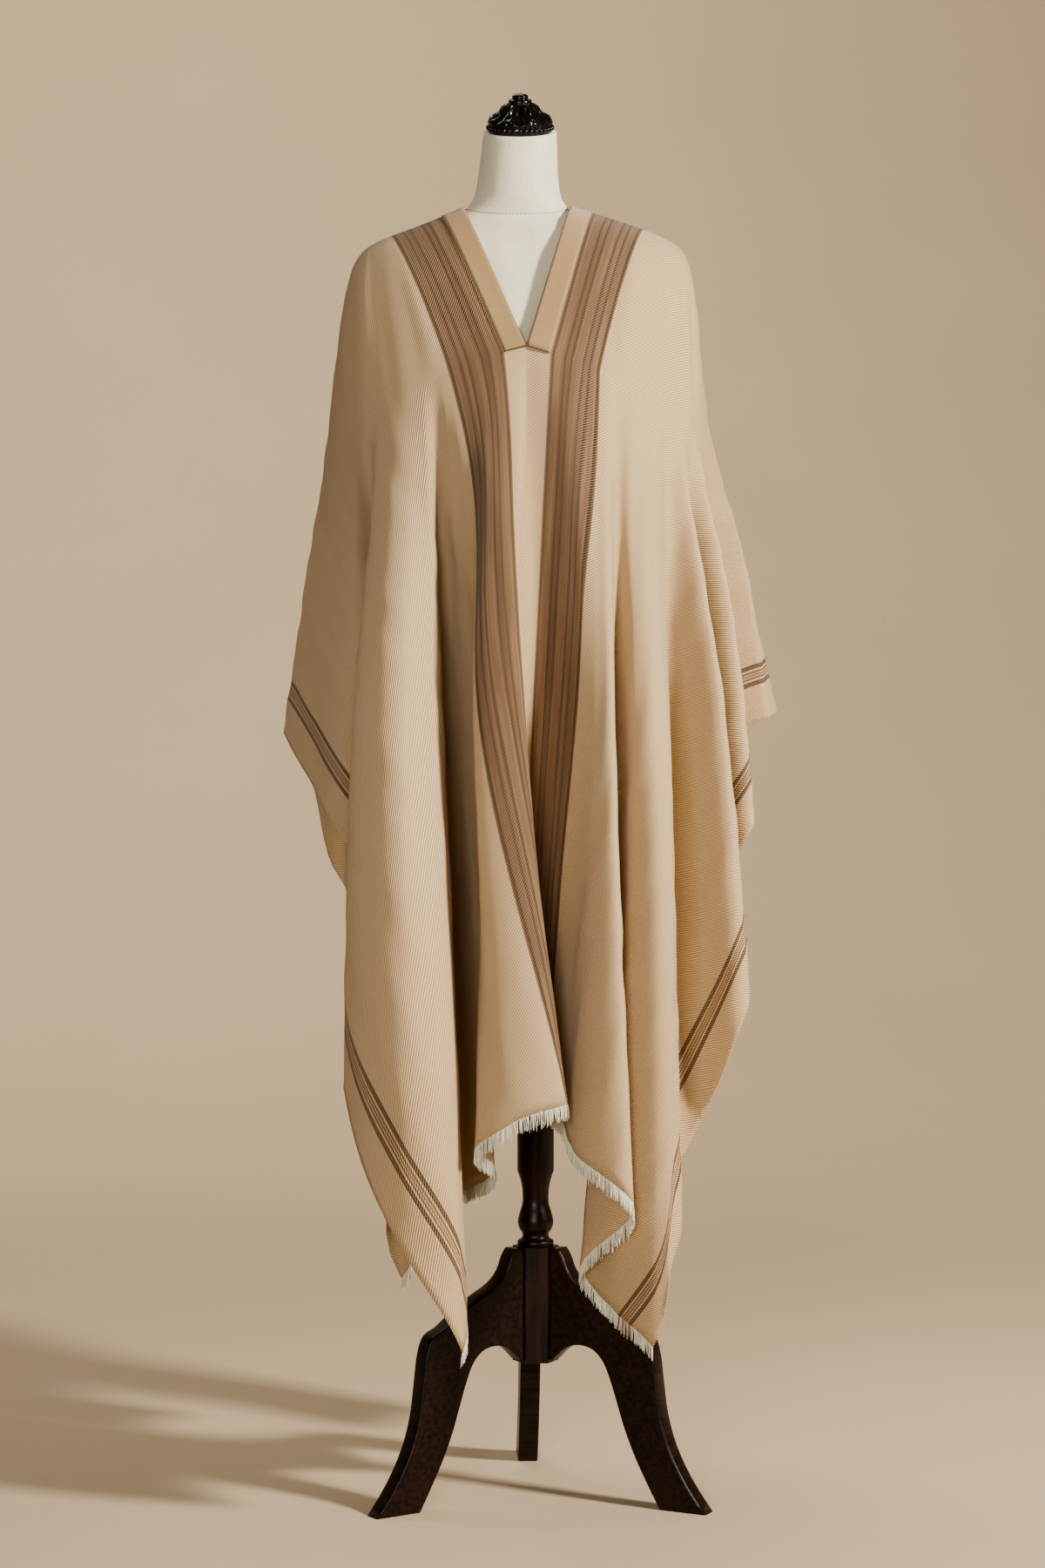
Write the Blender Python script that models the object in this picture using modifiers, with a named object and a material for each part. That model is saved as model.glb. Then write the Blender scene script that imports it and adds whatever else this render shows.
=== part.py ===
"""A woven poncho with fringed ends, worn on a dress form that stands on a three-legged wooden stand."""
import math

import bpy
import numpy as np

# The cloth is one length of twill with a slit for the neck. Sizes in metres.
HALF_WIDTH = 0.770
HALF_LENGTH = 1.172
BIAS_GIVE = 0.046
FRONT_SLIT = 0.245
BACK_SLIT = 0.108
FRONT_APEX_Z = 1.431
BACK_APEX_Z = 1.597
CLOTH_THICK = 0.0018
LONGEST_MITRE = 2

# The yoke line runs round the chest and shoulders where the cloth starts to hang free.
YOKE_DEPTH = 0.235
YOKE_TURN = 0.135
YOKE_SIDE = 0.457

# Each row is one fold line, from the middle out to the side, in millimetres:
# start, its place on the shoulder line from the slit; yoke, its place round the yoke line;
# edge, its place along the hem and then up the selvedge; shift, how far it bends half way down;
# then x and y at the yoke line, half way down, and at the cloth's edge.
FRONT_LEFT = (
    (0, 0, 0, 0, -4, -122, -13, -212, -5, -182),
    (10, 10, 96, -11, -13, -123, -10, -262, 44, -272),
    (36, 48, 160, 0, -48, -126, -64, -258, -16, -282),
    (72, 94, 222, 0, -95, -121, -60, -205, -65, -248),
    (82, 106, 300, 0, -107, -118, -70, -160, -43, -190),
    (92, 116, 515, 0, -117, -115, -104, -100, -100, 20),
    (100, 130, 770, 0, -131, -111, -100, -250, -79, -240),
    (107, 165, 900, 0, -161, -101, -152, -298, -155, -258),
    (116, 203, 1147, 0, -187, -84, -213, -200, -224, -185),
    (122, 228, 1360, 0, -201, -66, -152, -80, -165, 0),
    (130, 285, 1600, 0, -221, -45, -206, -108, -226, -112),
    (140, 370, 1780, 0, -244, -14, -258, -25, -280, -25),
    (150, 457, 1942, 0, -255, 15, -288, 60, -320, 120),
)
FRONT_RIGHT = (
    (0, 0, 0, 0, -4, -122, -13, -212, -5, -182),
    (14, 22, 70, -14, 18, -124, 4, -196, 8, -115),
    (45, 70, 150, 0, 62, -122, 62, -240, 35, -180),
    (60, 95, 290, -50, 84, -118, 80, -256, 57, -252),
    (75, 112, 420, -85, 98, -114, 98, -264, 121, -272),
    (85, 125, 600, -100, 109, -109, 104, -190, 66, -165),
    (93, 145, 690, -90, 126, -102, 124, -240, 102, -205),
    (100, 165, 770, -80, 142, -93, 157, -258, 146, -235),
    (107, 190, 920, -40, 158, -82, 172, -205, 177, -240),
    (113, 215, 1040, 0, 172, -68, 168, -95, 186, -135),
    (122, 245, 1265, 0, 188, -52, 237, -130, 265, -165),
    (132, 285, 1440, 0, 201, -34, 186, -10, 215, -40),
    (142, 325, 1600, 0, 210, -16, 256, -38, 280, -60),
    (152, 380, 1730, 0, 218, 8, 214, 50, 218, 60),
    (165, 457, 1942, 0, 228, 38, 281, 95, 312, 110),
)
BACK_LEFT = (
    (0, 0, 0, 0, -13, 80, 0, 185, 0, 195),
    (36, 58, 110, 0, -66, 112, -50, 240, -55, 280),
    (72, 100, 240, 0, -104, 112, -88, 150, -75, 130),
    (92, 130, 430, 0, -131, 105, -125, 242, -112, 285),
    (100, 155, 600, 0, -152, 96, -150, 130, -140, 120),
    (107, 195, 770, 0, -183, 82, -182, 235, -172, 262),
    (116, 245, 1080, 0, -208, 66, -205, 125, -200, 115),
    (122, 300, 1290, 0, -226, 56, -235, 200, -238, 315),
    (130, 350, 1450, 0, -239, 47, -241, 145, -254, 240),
    (140, 400, 1610, 0, -247, 37, -272, 172, -306, 315),
    (145, 428, 1792, 0, -251, 27, -284, 120, -314, 235),
    (150, 457, 1942, 0, -255, 15, -288, 60, -320, 120),
)
BACK_RIGHT = (
    (0, 0, 0, 0, -13, 80, 0, 185, 0, 195),
    (45, 65, 110, 0, 50, 111, 55, 238, 60, 285),
    (75, 103, 260, 0, 88, 109, 90, 150, 82, 135),
    (93, 130, 450, 0, 114, 102, 130, 243, 120, 285),
    (107, 160, 620, 0, 142, 92, 152, 135, 142, 115),
    (113, 190, 770, 0, 163, 83, 188, 235, 170, 265),
    (122, 240, 1080, 0, 186, 75, 200, 125, 195, 118),
    (132, 295, 1330, 0, 202, 70, 235, 198, 232, 312),
    (142, 345, 1510, 0, 211, 64, 236, 142, 240, 225),
    (152, 395, 1722, 0, 218, 56, 264, 172, 305, 275),
    (158, 425, 1850, 0, 224, 48, 276, 135, 329, 175),
    (165, 457, 1942, 0, 228, 38, 281, 95, 312, 110),
)
# The shoulder line from the slit out past the tip: start, x, y, z in millimetres.
SHOULDER_LEFT = (
    (0, -84, 0, 1621),
    (60, -139, 0, 1599),
    (118, -195, 0, 1577),
    (136, -210, 0, 1567),
    (150, -219, 0, 1555),
)
SHOULDER_RIGHT = (
    (0, 52, 0, 1623),
    (60, 109, 0, 1606),
    (125, 172, 0, 1583),
    (145, 189, 2, 1573),
    (165, 199, 4, 1559),
)
FOLD_ROUND = 0.5
COLUMNS_PER_FOLD = 3
# Rows of points down the cloth: 0 is the shoulder line, 1 the yoke line, 2 half way, 3 the edge.
DOWN = (0, 0.14, 0.3, 0.5, 0.74, 1, 1.3, 1.65, 2, 2.33, 2.67, 3)

# The plain facings beside the slit.
FACING_WIDTH = 0.029
FACING_THICK = 0.0012
FACING_LIFT = 0.0010
FACING_COLUMNS = 7

# The fringe hangs from a narrow strip just below each hem.
SEAM_GAP = 0.0012
STRIP_WIDTH = 0.004
LOCK_LENGTH = 0.0125
LOCKS_PER_HEM = 76
LOCK_SHARE = 0.55
# Locks are left out where the hem turns more sharply than this.
LOCK_TURN = 0.6

# The dress form's rings: z, left x, right x, half depth, y of the middle, forward tilt in degrees.
FORM_RINGS = (
    (0.930, -0.140, 0.140, 0.088, 0.000, 0),
    (0.936, -0.147, 0.147, 0.095, 0.000, 0),
    (0.980, -0.146, 0.146, 0.095, 0.000, 0),
    (1.080, -0.128, 0.128, 0.086, 0.000, 0),
    (1.160, -0.128, 0.126, 0.088, 0.000, 0),
    (1.260, -0.146, 0.140, 0.102, -0.003, 0),
    (1.350, -0.166, 0.156, 0.109, -0.006, 0),
    (1.420, -0.188, 0.172, 0.104, -0.004, 0),
    (1.480, -0.205, 0.180, 0.086, -0.002, 0),
    (1.525, -0.210, 0.184, 0.072, 0.000, 0),
    (1.553, -0.202, 0.180, 0.062, 0.000, 0),
    (1.571, -0.184, 0.168, 0.057, 0.000, 0),
    (1.5891, -0.1500, 0.1365, 0.0510, -0.0015, 0),
    (1.6044, -0.108, 0.090, 0.037, -0.004, 2),
    (1.6150, -0.083, 0.053, 0.038, -0.006, 5),
    (1.634, -0.069, 0.039, 0.048, -0.003, 9),
    (1.662, -0.064, 0.036, 0.049, -0.008, 14),
    (1.692, -0.060, 0.035, 0.047, -0.015, 18),
    (1.7135, -0.0575, 0.0345, 0.046, -0.021, 20),
)
FORM_SIDES = 32
NECK_TILT = 20
# The cap's outline: radius and height over the neck.
CAP_PROFILE = (
    (0.0000, 0.0470),
    (0.0075, 0.0466),
    (0.0096, 0.0452),
    (0.0102, 0.0432),
    (0.0100, 0.0412),
    (0.0142, 0.0398),
    (0.0148, 0.0378),
    (0.0146, 0.0358),
    (0.0205, 0.0320),
    (0.0250, 0.0262),
    (0.0300, 0.0208),
    (0.0360, 0.0172),
    (0.0395, 0.0148),
    (0.0412, 0.0120),
    (0.0410, 0.0092),
    (0.0425, 0.0056),
    (0.0410, 0.0000),
)

POLE_X = 0.008
POLE_TOP = 0.9292
# The pole's outline: radius and height, down to the collar on the hub.
POLE_PROFILE = (
    (0.0231, POLE_TOP),
    (0.0231, 0.4070),
    (0.0209, 0.4010),
    (0.0180, 0.3905),
    (0.0165, 0.3780),
    (0.0168, 0.3660),
    (0.0205, 0.3530),
    (0.0225, 0.3430),
    (0.0205, 0.3340),
    (0.0165, 0.3270),
    (0.0175, 0.3225),
    (0.0225, 0.3190),
    (0.0230, 0.3160),
    (0.0222, 0.3130),
)
HUB_TOP = 0.3127
HUB_BOTTOM = 0.168
HUB_REACH = 0.0250
HUB_FACE = 0.0150
LEG_TURNS = {"leg_left": -57, "leg_right": 63, "leg_back": 183}
LEG_THICK = 0.026
LEG_INNER_REACH = 0.0253
# A leg's outline in its own plane: how far out from the pole's axis, and height.
LEG_TOP_EDGE = (
    (0.0385, 0.3120),
    (0.0450, 0.3020),
    (0.0520, 0.2850),
    (0.0660, 0.2700),
    (0.0900, 0.2570),
    (0.1180, 0.2400),
    (0.1420, 0.2220),
    (0.1590, 0.2130),
    (0.1670, 0.1960),
    (0.1730, 0.1560),
    (0.1790, 0.1140),
    (0.1910, 0.0755),
    (0.2110, 0.0380),
    (0.2390, 0.0000),
)
LEG_UNDER_EDGE = (
    (0.1770, 0.0000),
    (0.1610, 0.0280),
    (0.1440, 0.0600),
    (0.1290, 0.0950),
    (0.1180, 0.1280),
    (0.1080, 0.1570),
    (0.0990, 0.1760),
    (0.0860, 0.1890),
    (0.0700, 0.1935),
    (0.0560, 0.1920),
    (0.0430, 0.1850),
    (0.0300, 0.1720),
)

LINEN = (0.80, 0.76, 0.68)
CREAM = (0.62, 0.50, 0.35)
FRINGE_WHITE = (0.72, 0.68, 0.60)
EBONY = (0.012, 0.010, 0.010)
MAHOGANY = (0.035, 0.016, 0.011)


def clear_scene():
    for thing in list(bpy.data.objects):
        bpy.data.objects.remove(thing, do_unlink=True)
    holder = bpy.data.collections.new("poncho")
    bpy.context.scene.collection.children.link(holder)
    return holder


def material(name, colour, roughness):
    made = bpy.data.materials.new(name)
    made.use_nodes = True
    shader = made.node_tree.nodes["Principled BSDF"]
    shader.inputs["Base Color"].default_value = (*colour, 1)
    shader.inputs["Roughness"].default_value = roughness
    return made


def mesh_object(name, points, faces, look, holder, smooth=True):
    mesh = bpy.data.meshes.new(name)
    mesh.from_pydata([tuple(map(float, p)) for p in points], [], [tuple(map(int, f)) for f in faces])
    for polygon in mesh.polygons:
        polygon.use_smooth = smooth
    made = bpy.data.objects.new(name, mesh)
    made.data.materials.append(look)
    holder.objects.link(made)
    return made


def welded(points, faces):
    """Points that fall on each other made one."""
    _, first, index = np.unique(np.round(points, 6), axis=0, return_index=True, return_inverse=True)
    return points[first], [tuple(index.reshape(-1)[list(face)]) for face in faces]


def outward(points, faces):
    """The way out of the sheet at each point, longer at a sharp fold so that it stays as thick there."""
    out = np.zeros_like(points)
    count = np.zeros((len(points), 1))
    for face in faces:
        a, b, c, d = points[list(face)]
        normal = np.cross(c - a, d - b)
        out[list(face)] += normal / np.linalg.norm(normal)
        count[list(face)] += 1
    out /= count
    size = np.linalg.norm(out, axis=1)[:, None]
    return out / size * np.minimum(1 / size, LONGEST_MITRE)


def halved(points, faces):
    """Four-sided faces cut in two across their shorter diagonal, so that a sheet's sides bend alike."""
    halves = []
    for a, b, c, d in faces:
        if np.linalg.norm(points[a] - points[c]) <= np.linalg.norm(points[b] - points[d]):
            halves += [(a, b, c), (a, c, d)]
        else:
            halves += [(a, b, d), (b, c, d)]
    return halves


def closed_sheet(outer, inner, faces):
    """Both sides of a sheet and the rim between them."""
    count = len(outer)
    faces = halved(outer, faces)
    edges = {(face[k], face[(k + 1) % len(face)]) for face in faces for k in range(len(face))}
    every = list(faces) + [tuple(count + v for v in face[::-1]) for face in faces]
    every += [(b, a, count + a, count + b) for a, b in edges if (b, a) not in edges]
    return np.concatenate([outer, inner]), every


def slopes(knots, values, least=0):
    """Slopes of a smooth curve through values at uneven knots, with a least size that rounds tight folds."""
    step = np.diff(knots)
    rise = np.diff(values, axis=0) / step[:, None]
    inner = (rise[:-1] * step[1:, None] + rise[1:] * step[:-1, None]) / (knots[2:] - knots[:-2])[:, None]
    heading = rise / np.linalg.norm(rise, axis=1)[:, None]
    turn = heading[:-1] + heading[1:]
    size = np.maximum(np.linalg.norm(inner, axis=1), least)[:, None]
    inner = turn / np.linalg.norm(turn, axis=1)[:, None] * size
    return np.vstack([1.5 * rise[:1] - 0.5 * inner[:1], inner, 1.5 * rise[-1:] - 0.5 * inner[-1:]])


def smooth_curve(knots, values, at, least=0):
    """The smooth curve through values at the places at."""
    slope = slopes(knots, values, least)
    i = np.clip(np.searchsorted(knots, at, side="right") - 1, 0, len(knots) - 2)
    step = (knots[i + 1] - knots[i])[:, None]
    f = (at - knots[i])[:, None] / step
    return (
        values[i] * (1 + 2 * f) * (1 - f) ** 2
        + slope[i] * step * f * (1 - f) ** 2
        + values[i + 1] * f**2 * (3 - 2 * f)
        + slope[i + 1] * step * f**2 * (f - 1)
    )


def yoke_points(place, slit):
    """Cloth points along the yoke line: across from the slit's end, then round the shoulder tip."""
    across = np.minimum(place, YOKE_TURN)
    down = slit + (YOKE_DEPTH - slit) * across / YOKE_TURN
    turn = np.maximum(place - YOKE_TURN, 0) / (YOKE_SIDE - YOKE_TURN) * math.pi / 2
    down = np.where(turn > 0, YOKE_DEPTH * np.cos(turn), down)
    return np.stack([across + YOKE_DEPTH * np.sin(turn), down], 1)


def edge_points(place):
    """Cloth points along the hem and then up the selvedge."""
    up = np.maximum(place - HALF_WIDTH, 0)
    return np.stack([np.minimum(place, HALF_WIDTH), HALF_LENGTH - up], 1)


def middle_points(yoke, edge, place, shift):
    """Cloth points half way down, moved along the cloth by shift."""
    turn = np.clip((place - HALF_WIDTH) / 0.7 + 0.5, 0, 1)
    turn = turn**2 * (3 - 2 * turn) * math.pi / 2
    return (yoke + edge) / 2 + shift[:, None] * np.stack([np.cos(turn), -np.sin(turn)], 1)


def cloth_run(here, there):
    """Length of hanging cloth between two cloth points: it gives a little on the bias."""
    way = there - here
    angle = np.arctan2(way[:, 0], way[:, 1])
    return np.linalg.norm(way, axis=1) * (1 + BIAS_GIVE * np.sin(2 * angle) ** 2)


def drop(height, here, there, run):
    """Height of the next point, so that the cloth between keeps its length."""
    across = np.linalg.norm(there - here, axis=1)
    return height - np.sqrt(np.maximum(run**2 - across**2, (0.3 * run) ** 2))


def quarter(folds, shoulder, facing, starts, downs):
    """Points of a quarter of the cloth, as rows of downs by columns of starts. Facing is -1 in front."""
    rows = np.array(folds, float) / 1000
    slit = FRONT_SLIT if facing < 0 else BACK_SLIT
    apex = FRONT_APEX_Z if facing < 0 else BACK_APEX_Z
    number = np.arange(len(rows))
    at = np.interp(starts, rows[:, 0], number)
    yoke, edge, shift = (np.interp(at, number, rows[:, k]) for k in (1, 2, 3))
    top = np.stack([starts, np.zeros_like(starts)], 1)
    line = yoke_points(yoke, slit)
    hem = edge_points(edge)
    middle = middle_points(line, hem, edge, shift)

    def placed(row_points, row_places, least):
        steps = np.linalg.norm(np.diff(row_points, axis=0), axis=1)
        knots = np.concatenate([[0], np.cumsum(steps)])
        return smooth_curve(knots, row_places, np.interp(at, number, knots), least)

    row_line = yoke_points(rows[:, 1], slit)
    row_hem = edge_points(rows[:, 2])
    row_middle = middle_points(row_line, row_hem, rows[:, 2], rows[:, 3])
    line_xy = placed(row_line, rows[:, 4:6], 0)
    middle_xy = placed(row_middle, rows[:, 6:8], FOLD_ROUND)
    hem_xy = placed(row_hem, rows[:, 8:10], FOLD_ROUND)

    tips = np.array(shoulder, float) / 1000
    first = smooth_curve(tips[:, 0], tips[:, 1:], starts)
    ahead = smooth_curve(tips[:, 0], tips[:, 1:], np.minimum(starts + 0.001, tips[-1, 0]))
    behind = smooth_curve(tips[:, 0], tips[:, 1:], np.maximum(starts - 0.001, 0))
    outward = ahead - behind
    outward /= np.linalg.norm(outward, axis=1)[:, None]

    line_z = drop(first[:, 2], first[:, :2], line_xy, 0.985 * cloth_run(top, line))
    line_z += (apex - line_z[0]) * np.exp(-yoke / 0.04) * np.maximum(1 - yoke / 0.3, 0)
    middle_z = drop(line_z, line_xy, middle_xy, cloth_run(line, middle))
    hem_z = drop(middle_z, middle_xy, hem_xy, cloth_run(middle, hem))
    stations = [first, np.column_stack([line_xy, line_z])]
    stations += [np.column_stack([middle_xy, middle_z]), np.column_stack([hem_xy, hem_z])]
    runs = [np.linalg.norm(b - a, axis=1)[:, None] for a, b in ((top, line), (line, middle), (middle, hem))]

    way = (line - top) / runs[0]
    forward = way[:, 1:] * (1 - 0.3 * way[:, :1]) * np.array([0, facing, 0.0])
    legs = [(stations[k + 1] - stations[k]) / runs[k] for k in range(3)]
    pull = 0.3 * np.clip(yoke / 0.05, 0, 1)[:, None]
    leave = [forward + 0.45 * way[:, :1] * outward]
    leave.append(pull * legs[0] + 0.4 * legs[1] + (0.6 - pull) * np.array([0, 0, -1.0]))
    stiff = np.exp(-((yoke / 0.09) ** 2))[:, None]
    leave.append((legs[1] * runs[2] + legs[2] * runs[1]) / (runs[1] + runs[2]))
    leave.append(1.5 * legs[2] - 0.5 * leave[2])
    arrive = [None, leave[1] + stiff * (legs[0] - leave[1]), leave[2], leave[3]]

    points = []
    for down in downs:
        k = min(int(down), 2)
        f = down - k
        points.append(
            stations[k] * (1 + 2 * f) * (1 - f) ** 2
            + leave[k] * runs[k] * f * (1 - f) ** 2
            + stations[k + 1] * f**2 * (3 - 2 * f)
            + arrive[k + 1] * runs[k] * f**2 * (f - 1)
        )
    return np.array(points), edge


def shared_starts(front, back):
    """Places on the shoulder line for the columns, the same in front and behind."""
    places = sorted({row[0] for row in front} | {row[0] for row in back})
    fine = np.interp(
        np.arange((len(places) - 1) * COLUMNS_PER_FOLD + 1) / COLUMNS_PER_FOLD,
        np.arange(len(places)),
        places,
    )
    return fine / 1000


def drape():
    """The cloth's four quarters, each as (points, edge places, starts, which way round its faces go)."""
    left = shared_starts(FRONT_LEFT, BACK_LEFT)
    right = shared_starts(FRONT_RIGHT, BACK_RIGHT)
    return {
        "front_left": (*quarter(FRONT_LEFT, SHOULDER_LEFT, -1, left, DOWN), left, -1),
        "front_right": (*quarter(FRONT_RIGHT, SHOULDER_RIGHT, -1, right, DOWN), right, 1),
        "back_left": (*quarter(BACK_LEFT, SHOULDER_LEFT, 1, left, DOWN), left, 1),
        "back_right": (*quarter(BACK_RIGHT, SHOULDER_RIGHT, 1, right, DOWN), right, -1),
    }


def grid_faces(rows, columns, turned, first=0):
    faces = []
    for i in range(rows - 1):
        for j in range(columns - 1):
            a = first + i * columns + j
            face = (a, a + columns, a + columns + 1, a + 1)
            faces.append(face if turned > 0 else face[::-1])
    return faces


def add_cloth(quarters, look, holder):
    """The cloth as one sheet, welded at the shoulder line, the sides and down the middle below the slit."""
    points, faces = [], []
    for grid, _, _, turned in quarters.values():
        faces += grid_faces(grid.shape[0], grid.shape[1], turned, len(points))
        points += list(grid.reshape(-1, 3))
    outer, faces = welded(np.array(points), faces)
    inner = outer - outward(outer, faces) * CLOTH_THICK
    mesh_object("poncho_cloth", *closed_sheet(outer, inner, faces), look, holder)
    return outer, inner


def across_columns(row, starts, places):
    """Points at places along a row, on the straight lines between its own."""
    return np.stack([np.interp(places, starts, row[:, k]) for k in range(3)], 1)


def add_facing(name, front, back, turned, look, holder):
    """A plain strip laid on the cloth beside the slit, from front to back over the shoulder."""
    count = DOWN.index(1) + 1
    rows = []
    for (grid, _, starts, _), folds in (front, back):
        table = np.array(folds, float) / 1000
        yoke = np.interp(starts, table[:, 0], table[:, 1])
        strip = []
        for i in range(count):
            across = starts + (yoke - starts) * DOWN[i]
            places = np.linspace(0.0008, FACING_WIDTH, FACING_COLUMNS + 1)
            strip.append(across_columns(grid[i], across, places))
        rows.append(strip)
    surface = np.array(rows[0][::-1] + rows[1][1:])
    du = np.gradient(surface, axis=1)
    dv = np.gradient(surface, axis=0)
    normal = np.cross(dv, du) * turned
    normal /= np.linalg.norm(normal, axis=2)[:, :, None]
    low = (surface + normal * FACING_LIFT).reshape(-1, 3)
    high = (surface + normal * (FACING_LIFT + FACING_THICK)).reshape(-1, 3)
    faces = grid_faces(surface.shape[0], surface.shape[1], turned)
    mesh_object(name, *closed_sheet(high, low, faces), look, holder)


def hem_line(left, right, cloth):
    """The hem from left corner to right: places along it, and points on both sides of the cloth."""
    outer, inner = cloth
    places, points, backs = [], [], []
    for (grid, edge, _, _), sign in ((left, -1), (right, 1)):
        on_hem = np.flatnonzero(edge <= HALF_WIDTH + 1e-9)
        on_hem = on_hem[::-1] if sign < 0 else on_hem[1:]
        for j in on_hem:
            nearest = np.argmin(np.abs(outer - grid[-1, j]).sum(1))
            places.append(sign * edge[j])
            points.append(outer[nearest])
            backs.append(inner[nearest])
    return np.array(places), np.array(points), np.array(backs)


def add_fringe(name, left, right, turned, cloth, look, holder):
    """Locks of warp ends that hang straight down from a narrow strip along the hem."""
    places, points, backs = hem_line(left, right, cloth)
    pitch = (places[-1] - places[0]) / LOCKS_PER_HEM
    starts = places[0] + pitch * (np.arange(LOCKS_PER_HEM) + (1 - LOCK_SHARE) / 2)
    ends = starts + pitch * LOCK_SHARE
    inside = places[(np.abs(places[:, None] - np.concatenate([starts, ends])[None]) > 0.0008).all(1)]
    along = np.sort(np.concatenate([starts, ends, inside]))
    edges = [across_columns(side, places, along) for side in (points, backs)]
    course = np.diff(edges[0], axis=0)
    course /= np.linalg.norm(course, axis=1)[:, None]
    level = np.linalg.norm(course[:, :2], axis=1)
    gap = SEAM_GAP / np.maximum(np.minimum(np.append(level, 1), np.insert(level, 0, 1)), 0.5)
    drops = (gap, gap + STRIP_WIDTH, gap + STRIP_WIDTH + LOCK_LENGTH)
    sides = [np.concatenate([edge - fall[:, None] * (0, 0, 1) for fall in drops]) for edge in edges]
    count = len(along)
    faces = []
    for j in range(count - 1):
        faces.append((j, count + j, count + j + 1, j + 1)[::turned])
    for start, end in zip(starts, ends):
        within = [j for j in range(count - 1) if along[j] > start - 1e-9 and along[j + 1] < end + 1e-9]
        if course[within[0]] @ course[within[-1]] < LOCK_TURN:
            continue
        for j in within:
            faces.append((count + j, 2 * count + j, 2 * count + j + 1, count + j + 1)[::turned])
    used = sorted({v for face in faces for v in face})
    new = {old: i for i, old in enumerate(used)}
    faces = [tuple(new[v] for v in face) for face in faces]
    mesh_object(name, *closed_sheet(sides[0][used], sides[1][used], faces), look, holder)


def add_form(look, holder):
    """The torso and neck in one: rings lofted from the hip to the cut of the neck."""
    points = []
    for z, left, right, depth, y, tilt in FORM_RINGS:
        lean = math.radians(tilt)
        half = (right - left) / 2
        for k in range(FORM_SIDES):
            a = 2 * math.pi * k / FORM_SIDES
            x = half * math.copysign(abs(math.cos(a)) ** 0.9, math.cos(a))
            out = depth * math.copysign(abs(math.sin(a)) ** 0.9, math.sin(a))
            points.append(((left + right) / 2 + x, y + out * math.cos(lean), z + out * math.sin(lean)))
    faces = []
    for i in range(len(FORM_RINGS) - 1):
        for k in range(FORM_SIDES):
            a, b = i * FORM_SIDES + k, i * FORM_SIDES + (k + 1) % FORM_SIDES
            faces.append((a, b, b + FORM_SIDES, a + FORM_SIDES))
    faces.append(tuple(range(FORM_SIDES))[::-1])
    last = (len(FORM_RINGS) - 1) * FORM_SIDES
    faces.append(tuple(range(last, last + FORM_SIDES)))
    mesh_object("dress_form", points, faces, look, holder)


def turned_solid(name, profile, steps, look, holder):
    """A profile at +X, listed down its outer side, turned about Z."""
    points = [(r, 0, z) for r, z in profile]
    if profile[0][0] > 0:
        points.insert(0, (0, 0, profile[0][1]))
    points.append((0, 0, profile[-1][1]))
    mesh = bpy.data.meshes.new(name)
    mesh.from_pydata(points, [(i, i + 1) for i in range(len(points) - 1)], [])
    made = bpy.data.objects.new(name, mesh)
    made.data.materials.append(look)
    holder.objects.link(made)
    screw = made.modifiers.new("Screw", "SCREW")
    screw.axis = "Z"
    screw.steps = steps
    screw.render_steps = steps
    screw.use_merge_vertices = True
    screw.merge_threshold = 0.0001
    screw.use_smooth_shade = True
    screw.use_normal_calculate = False
    return made


def flat_outline(name, outline, thick, look, holder):
    """A flat closed outline, filled and given thickness evenly to both sides."""
    curve = bpy.data.curves.new(name, "CURVE")
    curve.dimensions = "2D"
    curve.fill_mode = "BOTH"
    curve.extrude = thick / 2
    line = curve.splines.new("POLY")
    line.points.add(len(outline) - 1)
    for point, (x, y) in zip(line.points, outline):
        point.co = (x, y, 0, 1)
    line.use_cyclic_u = True
    made = bpy.data.objects.new(name, curve)
    made.data.materials.append(look)
    holder.objects.link(made)
    return made


def add_stand(look, holder):
    pole = turned_solid("pole", POLE_PROFILE, 32, look, holder)
    pole.location.x = POLE_X
    corners = []
    for turn in LEG_TURNS.values():
        a = math.radians(turn - 90)
        for side in (-HUB_FACE, HUB_FACE):
            x = HUB_REACH * math.cos(a) - side * math.sin(a)
            y = HUB_REACH * math.sin(a) + side * math.cos(a)
            corners.append((x, y))
    hub = flat_outline("hub", corners, HUB_TOP - HUB_BOTTOM, look, holder)
    hub.location = (POLE_X, 0, (HUB_TOP + HUB_BOTTOM) / 2)
    outline = [(LEG_INNER_REACH, LEG_TOP_EDGE[0][1]), *LEG_TOP_EDGE, *LEG_UNDER_EDGE]
    outline.append((LEG_INNER_REACH, LEG_UNDER_EDGE[-1][1]))
    for name, turn in LEG_TURNS.items():
        leg = flat_outline(name, outline, LEG_THICK, look, holder)
        leg.rotation_euler = (math.radians(90), 0, math.radians(turn - 90))
        leg.location.x = POLE_X


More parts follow.
